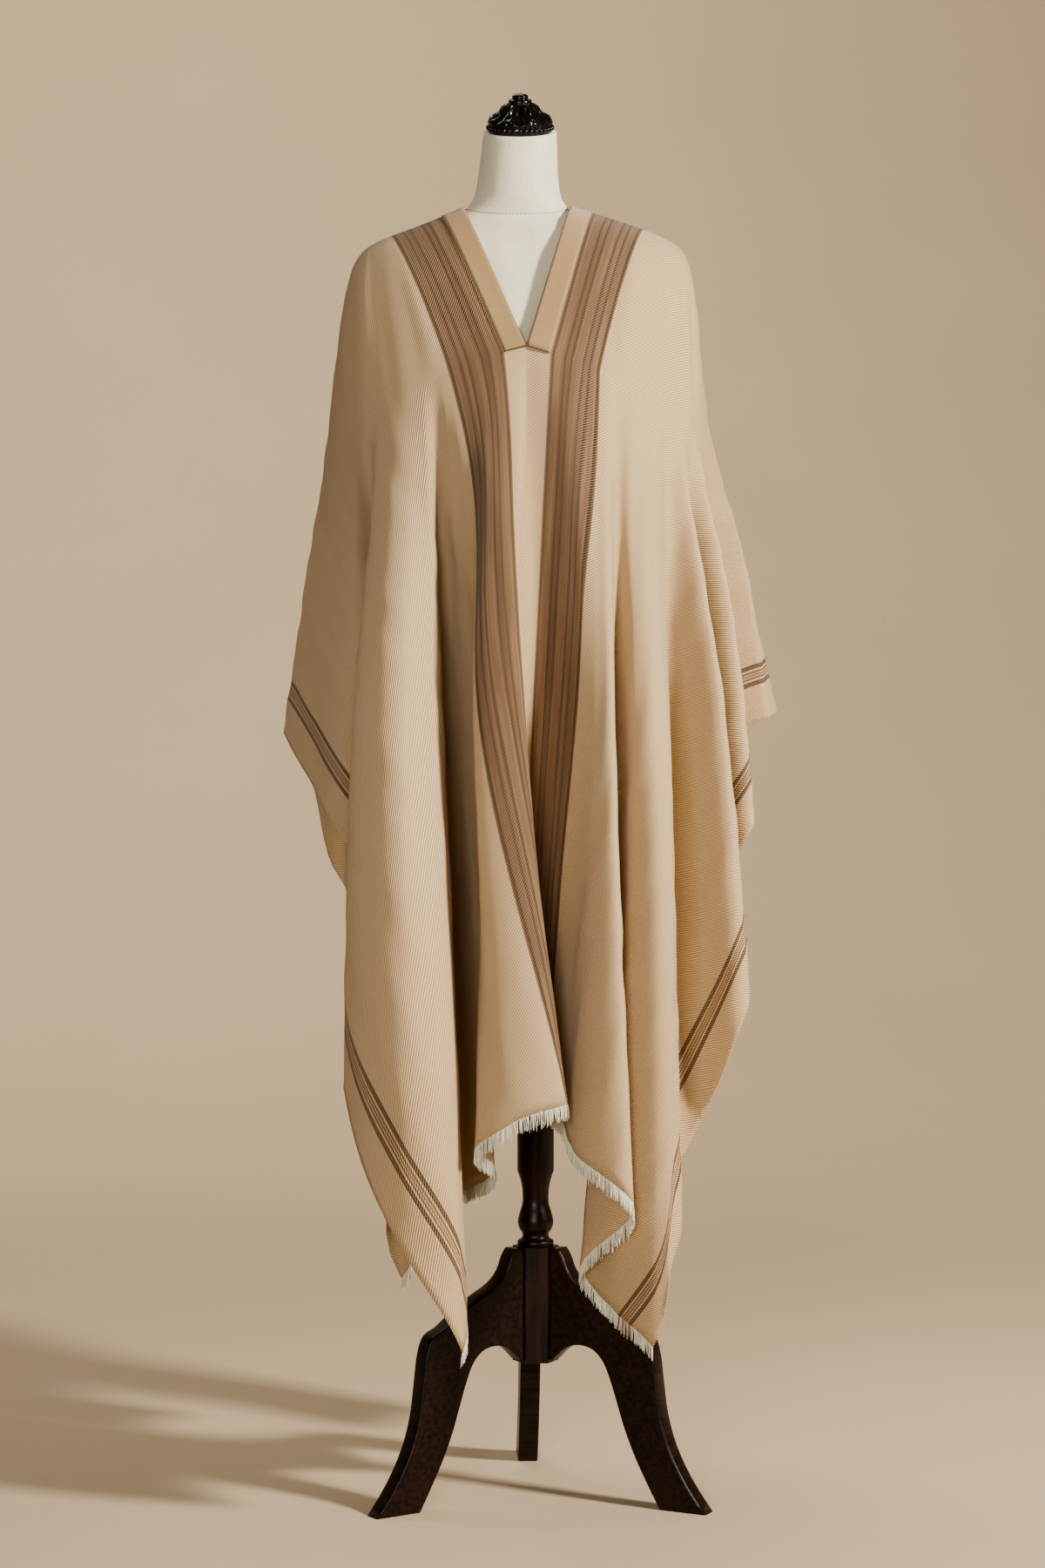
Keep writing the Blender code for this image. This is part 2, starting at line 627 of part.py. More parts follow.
def main():
    holder = clear_scene()
    twill = material("twill", CREAM, 0.9)
    facing = material("facing", CREAM, 0.9)
    white = material("fringe", FRINGE_WHITE, 0.9)
    linen = material("linen", LINEN, 0.8)
    ebony = material("ebony", EBONY, 0.25)
    mahogany = material("mahogany", MAHOGANY, 0.35)

    quarters = drape()
    cloth = add_cloth(quarters, twill, holder)
    front_left, front_right = quarters["front_left"], quarters["front_right"]
    back_left, back_right = quarters["back_left"], quarters["back_right"]
    add_facing("facing_left", (front_left, FRONT_LEFT), (back_left, BACK_LEFT), 1, facing, holder)
    add_facing("facing_right", (front_right, FRONT_RIGHT), (back_right, BACK_RIGHT), -1, facing, holder)
    add_fringe("fringe_front", front_left, front_right, 1, cloth, white, holder)
    add_fringe("fringe_back", back_left, back_right, -1, cloth, white, holder)
    add_form(linen, holder)
    cap = turned_solid("neck_cap", CAP_PROFILE, 32, ebony, holder)
    top = FORM_RINGS[-1]
    lean = math.radians(NECK_TILT)
    cap.rotation_euler.x = lean
    middle = (top[1] + top[2]) / 2
    cap.location = (middle, top[4] - 0.0004 * math.sin(lean), top[0] + 0.0004 * math.cos(lean))
    add_stand(mahogany, holder)


main()
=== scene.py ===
"""Looks of the poncho on its dress form: cloth, weave, stripes, fringe, linen, carved cap and stand."""

import math

import bpy
import numpy as np
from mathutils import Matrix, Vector


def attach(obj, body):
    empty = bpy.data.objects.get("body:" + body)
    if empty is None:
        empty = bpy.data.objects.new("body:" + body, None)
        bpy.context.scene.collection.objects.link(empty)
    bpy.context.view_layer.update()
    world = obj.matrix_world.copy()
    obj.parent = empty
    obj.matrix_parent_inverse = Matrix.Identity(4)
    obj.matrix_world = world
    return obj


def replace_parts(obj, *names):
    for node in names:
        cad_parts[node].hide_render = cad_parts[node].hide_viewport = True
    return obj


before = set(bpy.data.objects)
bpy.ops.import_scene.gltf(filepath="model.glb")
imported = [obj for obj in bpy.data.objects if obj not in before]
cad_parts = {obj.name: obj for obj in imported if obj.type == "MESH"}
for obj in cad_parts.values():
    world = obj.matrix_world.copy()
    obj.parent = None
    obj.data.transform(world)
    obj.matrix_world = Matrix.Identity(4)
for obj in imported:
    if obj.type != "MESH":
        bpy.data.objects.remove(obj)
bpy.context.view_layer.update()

# The cloth's cut and drape: the same named sizes and fold tables as the CAD part. Sizes in metres.
HALF_WIDTH = 0.770
HALF_LENGTH = 1.172
BIAS_GIVE = 0.046
FRONT_SLIT = 0.245
BACK_SLIT = 0.108
FRONT_APEX_Z = 1.431
BACK_APEX_Z = 1.597
YOKE_DEPTH = 0.235
YOKE_TURN = 0.135
YOKE_SIDE = 0.457
FOLD_ROUND = 0.5
SHIFT_TURN = 0.7
# Shares of a stretch's length: the least that it drops, and how tight the yoke is.
LEAST_DROP = 0.3
YOKE_TIGHT = 0.985
# How far along the yoke the slit's end acts on its height, its stiffness and its pull.
APEX_REACH = 0.04
APEX_END = 0.3
STIFF_REACH = 0.09
PULL_REACH = 0.05
PULL_SHARE = 0.3

# One row per fold line, in millimetres: its places on the shoulder line, the yoke and the edge, its middle's
# shift along the cloth, then x and y at the yoke, half way and the edge.
FRONT_LEFT = (
    (0, 0, 0, 0, -4, -122, -13, -212, -5, -182),
    (10, 10, 96, -11, -13, -123, -10, -262, 44, -272),
    (36, 48, 160, 0, -48, -126, -64, -258, -16, -282),
    (72, 94, 222, 0, -95, -121, -60, -205, -65, -248),
    (82, 106, 300, 0, -107, -118, -70, -160, -43, -190),
    (92, 116, 515, 0, -117, -115, -104, -100, -100, 20),
    (100, 130, 770, 0, -131, -111, -100, -250, -79, -240),
    (107, 165, 900, 0, -161, -101, -152, -298, -155, -258),
    (116, 203, 1147, 0, -187, -84, -213, -200, -224, -185),
    (122, 228, 1360, 0, -201, -66, -152, -80, -165, 0),
    (130, 285, 1600, 0, -221, -45, -206, -108, -226, -112),
    (140, 370, 1780, 0, -244, -14, -258, -25, -280, -25),
    (150, 457, 1942, 0, -255, 15, -288, 60, -320, 120),
)
FRONT_RIGHT = (
    (0, 0, 0, 0, -4, -122, -13, -212, -5, -182),
    (14, 22, 70, -14, 18, -124, 4, -196, 8, -115),
    (45, 70, 150, 0, 62, -122, 62, -240, 35, -180),
    (60, 95, 290, -50, 84, -118, 80, -256, 57, -252),
    (75, 112, 420, -85, 98, -114, 98, -264, 121, -272),
    (85, 125, 600, -100, 109, -109, 104, -190, 66, -165),
    (93, 145, 690, -90, 126, -102, 124, -240, 102, -205),
    (100, 165, 770, -80, 142, -93, 157, -258, 146, -235),
    (107, 190, 920, -40, 158, -82, 172, -205, 177, -240),
    (113, 215, 1040, 0, 172, -68, 168, -95, 186, -135),
    (122, 245, 1265, 0, 188, -52, 237, -130, 265, -165),
    (132, 285, 1440, 0, 201, -34, 186, -10, 215, -40),
    (142, 325, 1600, 0, 210, -16, 256, -38, 280, -60),
    (152, 380, 1730, 0, 218, 8, 214, 50, 218, 60),
    (165, 457, 1942, 0, 228, 38, 281, 95, 312, 110),
)
BACK_LEFT = (
    (0, 0, 0, 0, -13, 80, 0, 185, 0, 195),
    (36, 58, 110, 0, -66, 112, -50, 240, -55, 280),
    (72, 100, 240, 0, -104, 112, -88, 150, -75, 130),
    (92, 130, 430, 0, -131, 105, -125, 242, -112, 285),
    (100, 155, 600, 0, -152, 96, -150, 130, -140, 120),
    (107, 195, 770, 0, -183, 82, -182, 235, -172, 262),
    (116, 245, 1080, 0, -208, 66, -205, 125, -200, 115),
    (122, 300, 1290, 0, -226, 56, -235, 200, -238, 315),
    (130, 350, 1450, 0, -239, 47, -241, 145, -254, 240),
    (140, 400, 1610, 0, -247, 37, -272, 172, -306, 315),
    (145, 428, 1792, 0, -251, 27, -284, 120, -314, 235),
    (150, 457, 1942, 0, -255, 15, -288, 60, -320, 120),
)
BACK_RIGHT = (
    (0, 0, 0, 0, -13, 80, 0, 185, 0, 195),
    (45, 65, 110, 0, 50, 111, 55, 238, 60, 285),
    (75, 103, 260, 0, 88, 109, 90, 150, 82, 135),
    (93, 130, 450, 0, 114, 102, 130, 243, 120, 285),
    (107, 160, 620, 0, 142, 92, 152, 135, 142, 115),
    (113, 190, 770, 0, 163, 83, 188, 235, 170, 265),
    (122, 240, 1080, 0, 186, 75, 200, 125, 195, 118),
    (132, 295, 1330, 0, 202, 70, 235, 198, 232, 312),
    (142, 345, 1510, 0, 211, 64, 236, 142, 240, 225),
    (152, 395, 1722, 0, 218, 56, 264, 172, 305, 275),
    (158, 425, 1850, 0, 224, 48, 276, 135, 329, 175),
    (165, 457, 1942, 0, 228, 38, 281, 95, 312, 110),
)
# The shoulder line from the slit out past the tip: start, x, y, z in millimetres.
SHOULDER_LEFT = (
    (0, -84, 0, 1621),
    (60, -139, 0, 1599),
    (118, -195, 0, 1577),
    (136, -210, 0, 1567),
    (150, -219, 0, 1555),
)
SHOULDER_RIGHT = (
    (0, 52, 0, 1623),
    (60, 109, 0, 1606),
    (125, 172, 0, 1583),
    (145, 189, 2, 1573),
    (165, 199, 4, 1559),
)

# How finely the cloth is drawn here, and its thickness.
COLUMNS_PER_FOLD = 8
YOKE_ROWS = 26
HANG_ROWS = 70
CLOTH_THICK = 0.0013
LONGEST_MITRE = 1.6

# Small waves in the cloth, which start this far from the slit's middle and then grow to full height.
RIPPLE_HEIGHT = 0.0006
RIPPLE_START = 0.10
RIPPLE_FADE = 0.30

FACING_WIDTH = 0.029
FACING_LIFT = 0.0004
FACING_THICK = 0.0009
# How much thicker the edge by the slit is, where it is turned under, and how wide that is.
FACING_CROWN = 0.15
FACING_TURNED = 0.006
FACING_COLUMNS = 9

FRINGE_LENGTH = 0.0185
FRINGE_PITCH = 0.0009
FRINGE_JITTER = 0.00035
FRINGE_INSET = 0.001
FRINGE_ROOT = 0.0015
LOCK_PITCH = 0.0075
STRAND_RADIUS = 0.00058
STRAND_TAPER = 0.62
STRAND_STEPS = 5
STRAND_SIDES = 4
STRAND_SAG = 0.34

STITCHES = 13
STITCH_HALF = 0.0011
STITCH_SLANT = 0.0004
STITCH_FRONT = 0.0026
STITCH_RADIUS = 0.0005
THREAD_SIDES = 6

# Stripes, as distances from the middle of the cloth.
BAND_START = 0.030
BAND_END = 0.098
BAND_DOTS = (0.0338, 0.0498, 0.0586, 0.0744, 0.0830, 0.0945)
SIDE_START = HALF_WIDTH - 0.073
SIDE_LINES = (
    (0.0000, 0.0060),
    (0.0086, 0.0110),
    (0.0124, 0.0146),
    (0.0160, 0.0184),
    (0.0210, 0.0270),
)
SIDE_DOTS = (0.0014, 0.0046, 0.0224, 0.0256)
RIB_PITCH = 0.0036
RIB_WOBBLE = 0.0009
FACING_RIB_PITCH = 0.0022
DOT_HALF = 0.0016
SIDE_DOT_HALF = 0.0008

# Colours as the eye sees them.
CREAM_RIB = (0.82, 0.632, 0.375)
# The cream twill's groove colour: painted shade in the weave's grooves.
CREAM_GROOVE_SHADE = (0.31, 0.172, 0.066)
BROWN_RIB = (0.285, 0.173, 0.100)
# The brown twill's groove colour: painted shade in the weave's grooves.
BROWN_GROOVE_SHADE = (0.105, 0.058, 0.034)
DARK_YARN = (0.006, 0.003, 0.002)
CREAM_YARN = (0.86, 0.78, 0.64)
TAN_YARN = (0.44, 0.29, 0.165)
DEEP_TAN = (0.13, 0.062, 0.030)
AGED_TWILL = (0.60, 0.47, 0.31)
LIGHT_THROUGH = (0.86, 0.66, 0.41)
THROUGH_SHARE = 0.30
# The facing's groove colour: painted shade in the weave's grooves.
FACING_GROOVE_SHADE = (0.17, 0.100, 0.042)
FACING_RIB = (0.39, 0.26, 0.130)
FACING_FLECK = (0.50, 0.36, 0.20)
FACING_FOLD = (0.22, 0.12, 0.055)
FRINGE_SHADE = (0.50, 0.49, 0.40)
FRINGE_LIGHT = (0.78, 0.765, 0.645)
BROWN_END_SHADE = (0.22, 0.13, 0.07)
BROWN_END_LIGHT = (0.46, 0.32, 0.20)
LINEN = (0.725, 0.685, 0.525)
LINEN_STAIN = (0.61, 0.56, 0.44)
LINEN_WEAVE = (0.50, 0.47, 0.39)
LINEN_SLUB = (0.50, 0.46, 0.36)
THREAD_SHADE = (0.085, 0.055, 0.032)
THREAD_LIGHT = (0.20, 0.135, 0.08)
EBONY_SHADE = (0.0015, 0.0012, 0.0012)
EBONY_LIGHT = (0.006, 0.004, 0.0035)
WOOD_SHADE = (0.0026, 0.0012, 0.0008)
WOOD_GRAIN = (0.018, 0.0062, 0.0026)
WOOD_CLOUD = (0.027, 0.0098, 0.0038)
WOOD_NICK = (0.20, 0.13, 0.08)
BACKDROP = (0.46, 0.368, 0.255)
BACKDROP_SPECK = (0.30, 0.23, 0.17)
# The colour of the painted shade where the floor runs into the wall.
BACKDROP_BEND_SHADE = (0.27, 0.20, 0.135)
# The stretch of the paper's bend that is a little darker: painted shade where the floor runs into the wall.
BEND_SHADE_START = 1.0
BEND_SHADE_LENGTH = 1.6


def unit(vectors):
    """The same vectors at length 1."""
    return vectors / np.maximum(np.linalg.norm(vectors, axis=-1, keepdims=True), 1e-12)


def distances(points):
    """How far along a line each of its points lies."""
    return np.concatenate([[0], np.cumsum(np.linalg.norm(np.diff(points, axis=0), axis=1))])


def interpolated(at, knots, rows):
    """Rows of values at the places at, on straight lines between the rows at the knots."""
    return np.stack([np.interp(at, knots, column) for column in rows.T], 1)


def round_turns(sides):
    return 2 * math.pi * np.arange(sides) / sides


def along_span(here, leaving, there, arriving, length, f):
    """The point a share f of the way along a smooth span between two ends."""
    return (
        here * (1 + 2 * f) * (1 - f) ** 2
        + leaving * length * f * (1 - f) ** 2
        + there * f**2 * (3 - 2 * f)
        + arriving * length * f**2 * (f - 1)
    )


def slopes(knots, values, least=0):
    """Slopes of a smooth curve through values at uneven knots, at least this steep to keep folds round."""
    step = np.diff(knots)
    rise = np.diff(values, axis=0) / step[:, None]
    inner = (rise[:-1] * step[1:, None] + rise[1:] * step[:-1, None]) / (step[:-1] + step[1:])[:, None]
    heading = unit(rise)
    size = np.maximum(np.linalg.norm(inner, axis=1), least)[:, None]
    inner = unit(heading[:-1] + heading[1:]) * size
    return np.vstack([1.5 * rise[:1] - 0.5 * inner[:1], inner, 1.5 * rise[-1:] - 0.5 * inner[-1:]])


def smooth_curve(knots, values, at, least=0):
    """The smooth curve through values at the places at."""
    slope = slopes(knots, values, least)
    i = np.clip(np.searchsorted(knots, at, side="right") - 1, 0, len(knots) - 2)
    step = (knots[i + 1] - knots[i])[:, None]
    f = (at - knots[i])[:, None] / step
    return along_span(values[i], slope[i], values[i + 1], slope[i + 1], step, f)


def yoke_points(place, slit):
    """Cloth points along the yoke line: across from the slit's end, then round the shoulder tip."""
    across = np.minimum(place, YOKE_TURN)
    down = slit + (YOKE_DEPTH - slit) * across / YOKE_TURN
    turn = np.maximum(place - YOKE_TURN, 0) / (YOKE_SIDE - YOKE_TURN) * math.pi / 2
    down = np.where(turn > 0, YOKE_DEPTH * np.cos(turn), down)
    return np.stack([across + YOKE_DEPTH * np.sin(turn), down], 1)


def edge_points(place):
    """Cloth points along the hem and then up the selvedge."""
    up = np.maximum(place - HALF_WIDTH, 0)
    return np.stack([np.minimum(place, HALF_WIDTH), HALF_LENGTH - up], 1)


def shift_way(place):
    """Which way the middle points shift: across the cloth over the hem, up it beside the selvedge."""
    turn = np.clip((place - HALF_WIDTH) / SHIFT_TURN + 0.5, 0, 1)
    turn = turn**2 * (3 - 2 * turn) * math.pi / 2
    return np.stack([np.cos(turn), -np.sin(turn)], 1)


def cut_lines(yoke, edge, shift, slit):
    """Cloth points along the yoke, half way down and along the edge."""
    line, hem = yoke_points(yoke, slit), edge_points(edge)
    return line, (line + hem) / 2 + shift[:, None] * shift_way(edge), hem


def cloth_run(here, there):
    """Length of hanging cloth between two cloth points: it gives a little on the bias."""
    way = there - here
    angle = np.arctan2(way[:, 0], way[:, 1])
    return np.linalg.norm(way, axis=1) * (1 + BIAS_GIVE * np.sin(2 * angle) ** 2)


def drop(height, here, there, run):
    """Height of the next point, so that the cloth between keeps its length."""
    across = np.linalg.norm(there - here, axis=1)
    return height - np.sqrt(np.maximum(run**2 - across**2, (LEAST_DROP * run) ** 2))


def quarter(folds, shoulder, facing, side, starts, downs):
    """Points of a quarter of the cloth, and where each lies in the flat cut.

    Facing is -1 in front and 1 behind. Side is -1 at the left and 1 at the right.
    """
    rows = np.array(folds, float) / 1000
    slit = FRONT_SLIT if facing < 0 else BACK_SLIT
    apex = FRONT_APEX_Z if facing < 0 else BACK_APEX_Z
    number = np.arange(len(rows))
    at = np.interp(starts, rows[:, 0], number)
    yoke, edge, shift = (np.interp(at, number, rows[:, k]) for k in (1, 2, 3))
    top = np.stack([starts, np.zeros_like(starts)], 1)
    line, middle, hem = cut_lines(yoke, edge, shift, slit)

    def placed(row_points, row_places, least):
        knots = distances(row_points)
        return smooth_curve(knots, row_places, np.interp(at, number, knots), least)

    row_line, row_middle, row_hem = cut_lines(rows[:, 1], rows[:, 2], rows[:, 3], slit)
    line_xy = placed(row_line, rows[:, 4:6], 0)
    middle_xy = placed(row_middle, rows[:, 6:8], FOLD_ROUND)
    hem_xy = placed(row_hem, rows[:, 8:10], FOLD_ROUND)

    tips = np.array(shoulder, float) / 1000
    near = starts, np.minimum(starts + 0.001, tips[-1, 0]), np.maximum(starts - 0.001, 0)
    first, ahead, behind = (smooth_curve(tips[:, 0], tips[:, 1:], at_tips) for at_tips in near)
    to_tip = unit(ahead - behind)

    line_z = drop(first[:, 2], first[:, :2], line_xy, YOKE_TIGHT * cloth_run(top, line))
    line_z += (apex - line_z[0]) * np.exp(-yoke / APEX_REACH) * np.maximum(1 - yoke / APEX_END, 0)
    middle_z = drop(line_z, line_xy, middle_xy, cloth_run(line, middle))
    hem_z = drop(middle_z, middle_xy, hem_xy, cloth_run(middle, hem))
    stations = [first, np.column_stack([line_xy, line_z])]
    stations += [np.column_stack([middle_xy, middle_z]), np.column_stack([hem_xy, hem_z])]
    lines = (top, line, middle, hem)
    runs = [np.linalg.norm(b - a, axis=1)[:, None] for a, b in zip(lines, lines[1:])]

    way = (line - top) / runs[0]
    forward = way[:, 1:] * (1 - 0.3 * way[:, :1]) * np.array([0, facing, 0.0])
    legs = [(stations[k + 1] - stations[k]) / runs[k] for k in range(3)]
    pull = PULL_SHARE * np.clip(yoke / PULL_REACH, 0, 1)[:, None]
    leave = [forward + 0.45 * way[:, :1] * to_tip]
    leave.append(pull * legs[0] + 0.4 * legs[1] + (0.6 - pull) * np.array([0, 0, -1.0]))
    stiff = np.exp(-((yoke / STIFF_REACH) ** 2))[:, None]
    leave.append((legs[1] * runs[2] + legs[2] * runs[1]) / (runs[1] + runs[2]))
    leave.append(1.5 * legs[2] - 0.5 * leave[2])
    arrive = [None, leave[1] + stiff * (legs[0] - leave[1]), leave[2], leave[3]]

    points, cuts = [], []
    for down in downs:
        k = min(int(down), 2)
        f = down - k
        points.append(along_span(stations[k], leave[k], stations[k + 1], arrive[k + 1], runs[k], f))
        if down < 1:
            cut = top + (line - top) * down
        else:
            u = (down - 1) / 2
            cut = line + (hem - line) * u + 4 * u * (1 - u) * shift[:, None] * shift_way(edge)
        cuts.append(cut * (side, -facing))
    return np.array(points), np.array(cuts), edge


def shared_starts(front, back):
    """Places on the shoulder line for the columns, the same in front and behind."""
    places = sorted({row[0] for row in front} | {row[0] for row in back})
    count = (len(places) - 1) * COLUMNS_PER_FOLD + 1
    return np.interp(np.arange(count) / COLUMNS_PER_FOLD, np.arange(len(places)), places) / 1000


def drape(downs):
    """The cloth's quarters by name: (points, cuts, edge places, starts, which way round its faces go)."""
    left = shared_starts(FRONT_LEFT, BACK_LEFT)
    right = shared_starts(FRONT_RIGHT, BACK_RIGHT)
    return {
        "front_left": (*quarter(FRONT_LEFT, SHOULDER_LEFT, -1, -1, left, downs), left, -1),
        "front_right": (*quarter(FRONT_RIGHT, SHOULDER_RIGHT, -1, 1, right, downs), right, 1),
        "back_left": (*quarter(BACK_LEFT, SHOULDER_LEFT, 1, -1, left, downs), left, 1),
        "back_right": (*quarter(BACK_RIGHT, SHOULDER_RIGHT, 1, 1, right, downs), right, -1),
    }


def grid_faces(rows, columns, turned, first=0):
    """Four-sided faces of a grid of points, as an array."""
    a = (first + np.arange(rows - 1)[:, None] * columns + np.arange(columns - 1)[None]).reshape(-1)
    faces = np.stack([a, a + columns, a + columns + 1, a + 1], 1)
    return faces if turned > 0 else faces[:, ::-1]


def outward(points, faces, longest=LONGEST_MITRE):
    """The way out of the sheet at each point, longer at a sharp fold to keep its thickness there."""
    a, b, c, d = (points[faces[:, k]] for k in range(4))
    normal = unit(np.cross(c - a, d - b))
    out, count = np.zeros_like(points), np.zeros(len(points))
    for k in range(4):
        np.add.at(out, faces[:, k], normal)
        np.add.at(count, faces[:, k], 1)
    out /= count[:, None]
    size = np.linalg.norm(out, axis=1)[:, None]
    return out / size * np.minimum(1 / size, longest)


def closed_sheet(outer, inner, faces):
    """Both sides of a sheet and the rim between them."""
    count = len(outer)
    ends = np.concatenate([faces[:, [k, (k + 1) % 4]] for k in range(4)])
    paired = {(int(a), int(b)) for a, b in ends}
    rim = [(b, a, count + a, count + b) for a, b in paired if (b, a) not in paired]
    sides = np.concatenate([faces, faces[:, ::-1] + count, np.array(sorted(rim))])
    return np.concatenate([outer, inner]), sides


def lathe_points(radius, height, sides):
    """Points of a turned shape round the z axis, row by row."""
    turn = round_turns(sides)
    return np.stack([radius * np.cos(turn), radius * np.sin(turn), height + 0 * turn], -1).reshape(-1, 3)


def lathe_faces(rows, sides):
    """Faces of a turned shape: a grid of points that closes round itself, with a flat cap at each end."""
    faces = grid_faces(rows, sides, 1).tolist()
    for first in range(0, (rows - 1) * sides, sides):
        last = first + sides - 1
        faces.append([last, last + sides, first + sides, first])
    faces.append(list(range(sides)))
    faces.append(list(range((rows - 1) * sides, rows * sides))[::-1])
    return faces


def mesh_piece(name, points, faces, look, cuts=None):
    """A smooth mesh from points and faces, with each point's place in the flat cut where it is cloth."""
    mesh = bpy.data.meshes.new(name)
    if isinstance(faces, np.ndarray):
        faces = faces.tolist()
    mesh.from_pydata(np.asarray(points, float).tolist(), [], faces)
    mesh.polygons.foreach_set("use_smooth", [True] * len(mesh.polygons))
    if cuts is not None:
        flat = np.zeros((len(points), 3), np.float32)
        flat[:, :2] = cuts
        mesh.attributes.new("cut", "FLOAT_VECTOR", "POINT").data.foreach_set("vector", flat.ravel())
    made = bpy.data.objects.new(name, mesh)
    made.data.materials.append(look)
    bpy.context.scene.collection.objects.link(made)
    return made


class Nodes:
    """A material's node tree, with short calls for what the finishes use."""

    def __init__(self, name):
        self.material = bpy.data.materials.new(name)
        self.material.use_nodes = True
        self.tree = self.material.node_tree
        self.shader = self.tree.nodes["Principled BSDF"]

    def put(self, socket, value):
        if isinstance(value, bpy.types.NodeSocket):
            self.tree.links.new(value, socket)
        elif isinstance(value, tuple) and len(value) == 3 and socket.type == "RGBA":
            socket.default_value = (*value, 1)
        else:
            socket.default_value = value

    def add(self, kind, output=0, settings=(), **inputs):
        node = self.tree.nodes.new(kind)
        for key, value in dict(settings).items():
            setattr(node, key, value)
        for key, value in inputs.items():
            self.put(node.inputs[int(key[1:]) if key[1:].isdigit() else key], value)
        return node.outputs[output]

    def math(self, operation, a, b=0.0, c=0.0):
        return self.add("ShaderNodeMath", settings={"operation": operation}, _0=a, _1=b, _2=c)

    def mix(self, share, a, b):
        node = self.tree.nodes.new("ShaderNodeMix")
        node.data_type = "RGBA"
        self.put(node.inputs[0], share)
        self.put(node.inputs[6], a)
        self.put(node.inputs[7], b)
        return node.outputs[2]

    def tint(self, colour, share, most, other):
        """The colour, mixed with at most this much of another."""
        return self.mix(self.math("MULTIPLY", share, most), colour, other)

    def between(self, value, low, high, soft):
        """1 where low < value < high, with soft edges."""
        return self.math("SUBTRACT", self.step(value, low, soft), self.step(value, high, soft))

    def step(self, value, edge, soft):
        """0 below edge and 1 above it."""
        node = self.tree.nodes.new("ShaderNodeMapRange")
        node.interpolation_type = "SMOOTHSTEP"
        self.put(node.inputs["Value"], value)
        self.put(node.inputs["From Min"], edge - soft)
        self.put(node.inputs["From Max"], edge + soft)
        return node.outputs[0]

    def noise(self, vector, scale, detail=2.0, rough=0.5):
        return self.add("ShaderNodeTexNoise", Vector=vector, Scale=scale, Detail=detail, Roughness=rough)

    def stretched(self, vector, scale):
        return self.add("ShaderNodeVectorMath", settings={"operation": "MULTIPLY"}, _0=vector, _1=scale)

    def bump(self, height, distance):
        node = self.tree.nodes.new("ShaderNodeBump")
        self.put(node.inputs["Height"], height)
        node.inputs["Distance"].default_value = distance
        node.inputs["Strength"].default_value = 1.0
        return node.outputs[0]

    def part(self, vector, axis):
        return self.add("ShaderNodeSeparateXYZ", output=axis, _0=vector)

    def object_place(self):
        return self.add("ShaderNodeTexCoord", output=3)

    def finish(self, colour, rough, normal=None, **settings):
        self.put(self.shader.inputs["Base Color"], colour)
        self.put(self.shader.inputs["Roughness"], rough)
        if normal is not None:
            self.put(self.shader.inputs["Normal"], normal)
        for key, value in settings.items():
            self.shader.inputs[key.replace("_", " ")].default_value = value
        return self.material


def cut_places(n):
    """Across and down the flat cut, and the distance from its middle."""
    place = n.add("ShaderNodeAttribute", output=1, settings={"attribute_name": "cut"})
    across, down = n.part(place, 0), n.part(place, 1)
    return place, across, down, n.math("ABSOLUTE", across)


def total(n, values):
    """The sum of several values, at most 1."""
    found = values[0]
    for value in values[1:]:
        found = n.math("ADD", found, value)
    return n.math("MINIMUM", found, 1.0)


def wave(n, value, pitch):
    """A wave from 0 to 1 and back in each pitch."""
    turns = n.math("MULTIPLY", value, 2 * math.pi / pitch)
    return n.math("MULTIPLY_ADD", n.math("SINE", turns), 0.5, 0.5)


def stripe_shares(n, middle):
    """How brown the ground is and how dark the dotted warp yarns are, at a distance from the middle."""
    band = n.between(middle, BAND_START, BAND_END, 0.0004)
    lines = [n.between(middle, SIDE_START + a, SIDE_START + b, 0.0004) for a, b in SIDE_LINES]
    brown = total(n, [band, *lines])
    dots = [n.between(middle, d - DOT_HALF, d + DOT_HALF, 0.0003) for d in BAND_DOTS]
    side_dots = [SIDE_START + d for d in SIDE_DOTS]
    dots += [n.between(middle, d - SIDE_DOT_HALF, d + SIDE_DOT_HALF, 0.0003) for d in side_dots]
    return brown, total(n, dots)


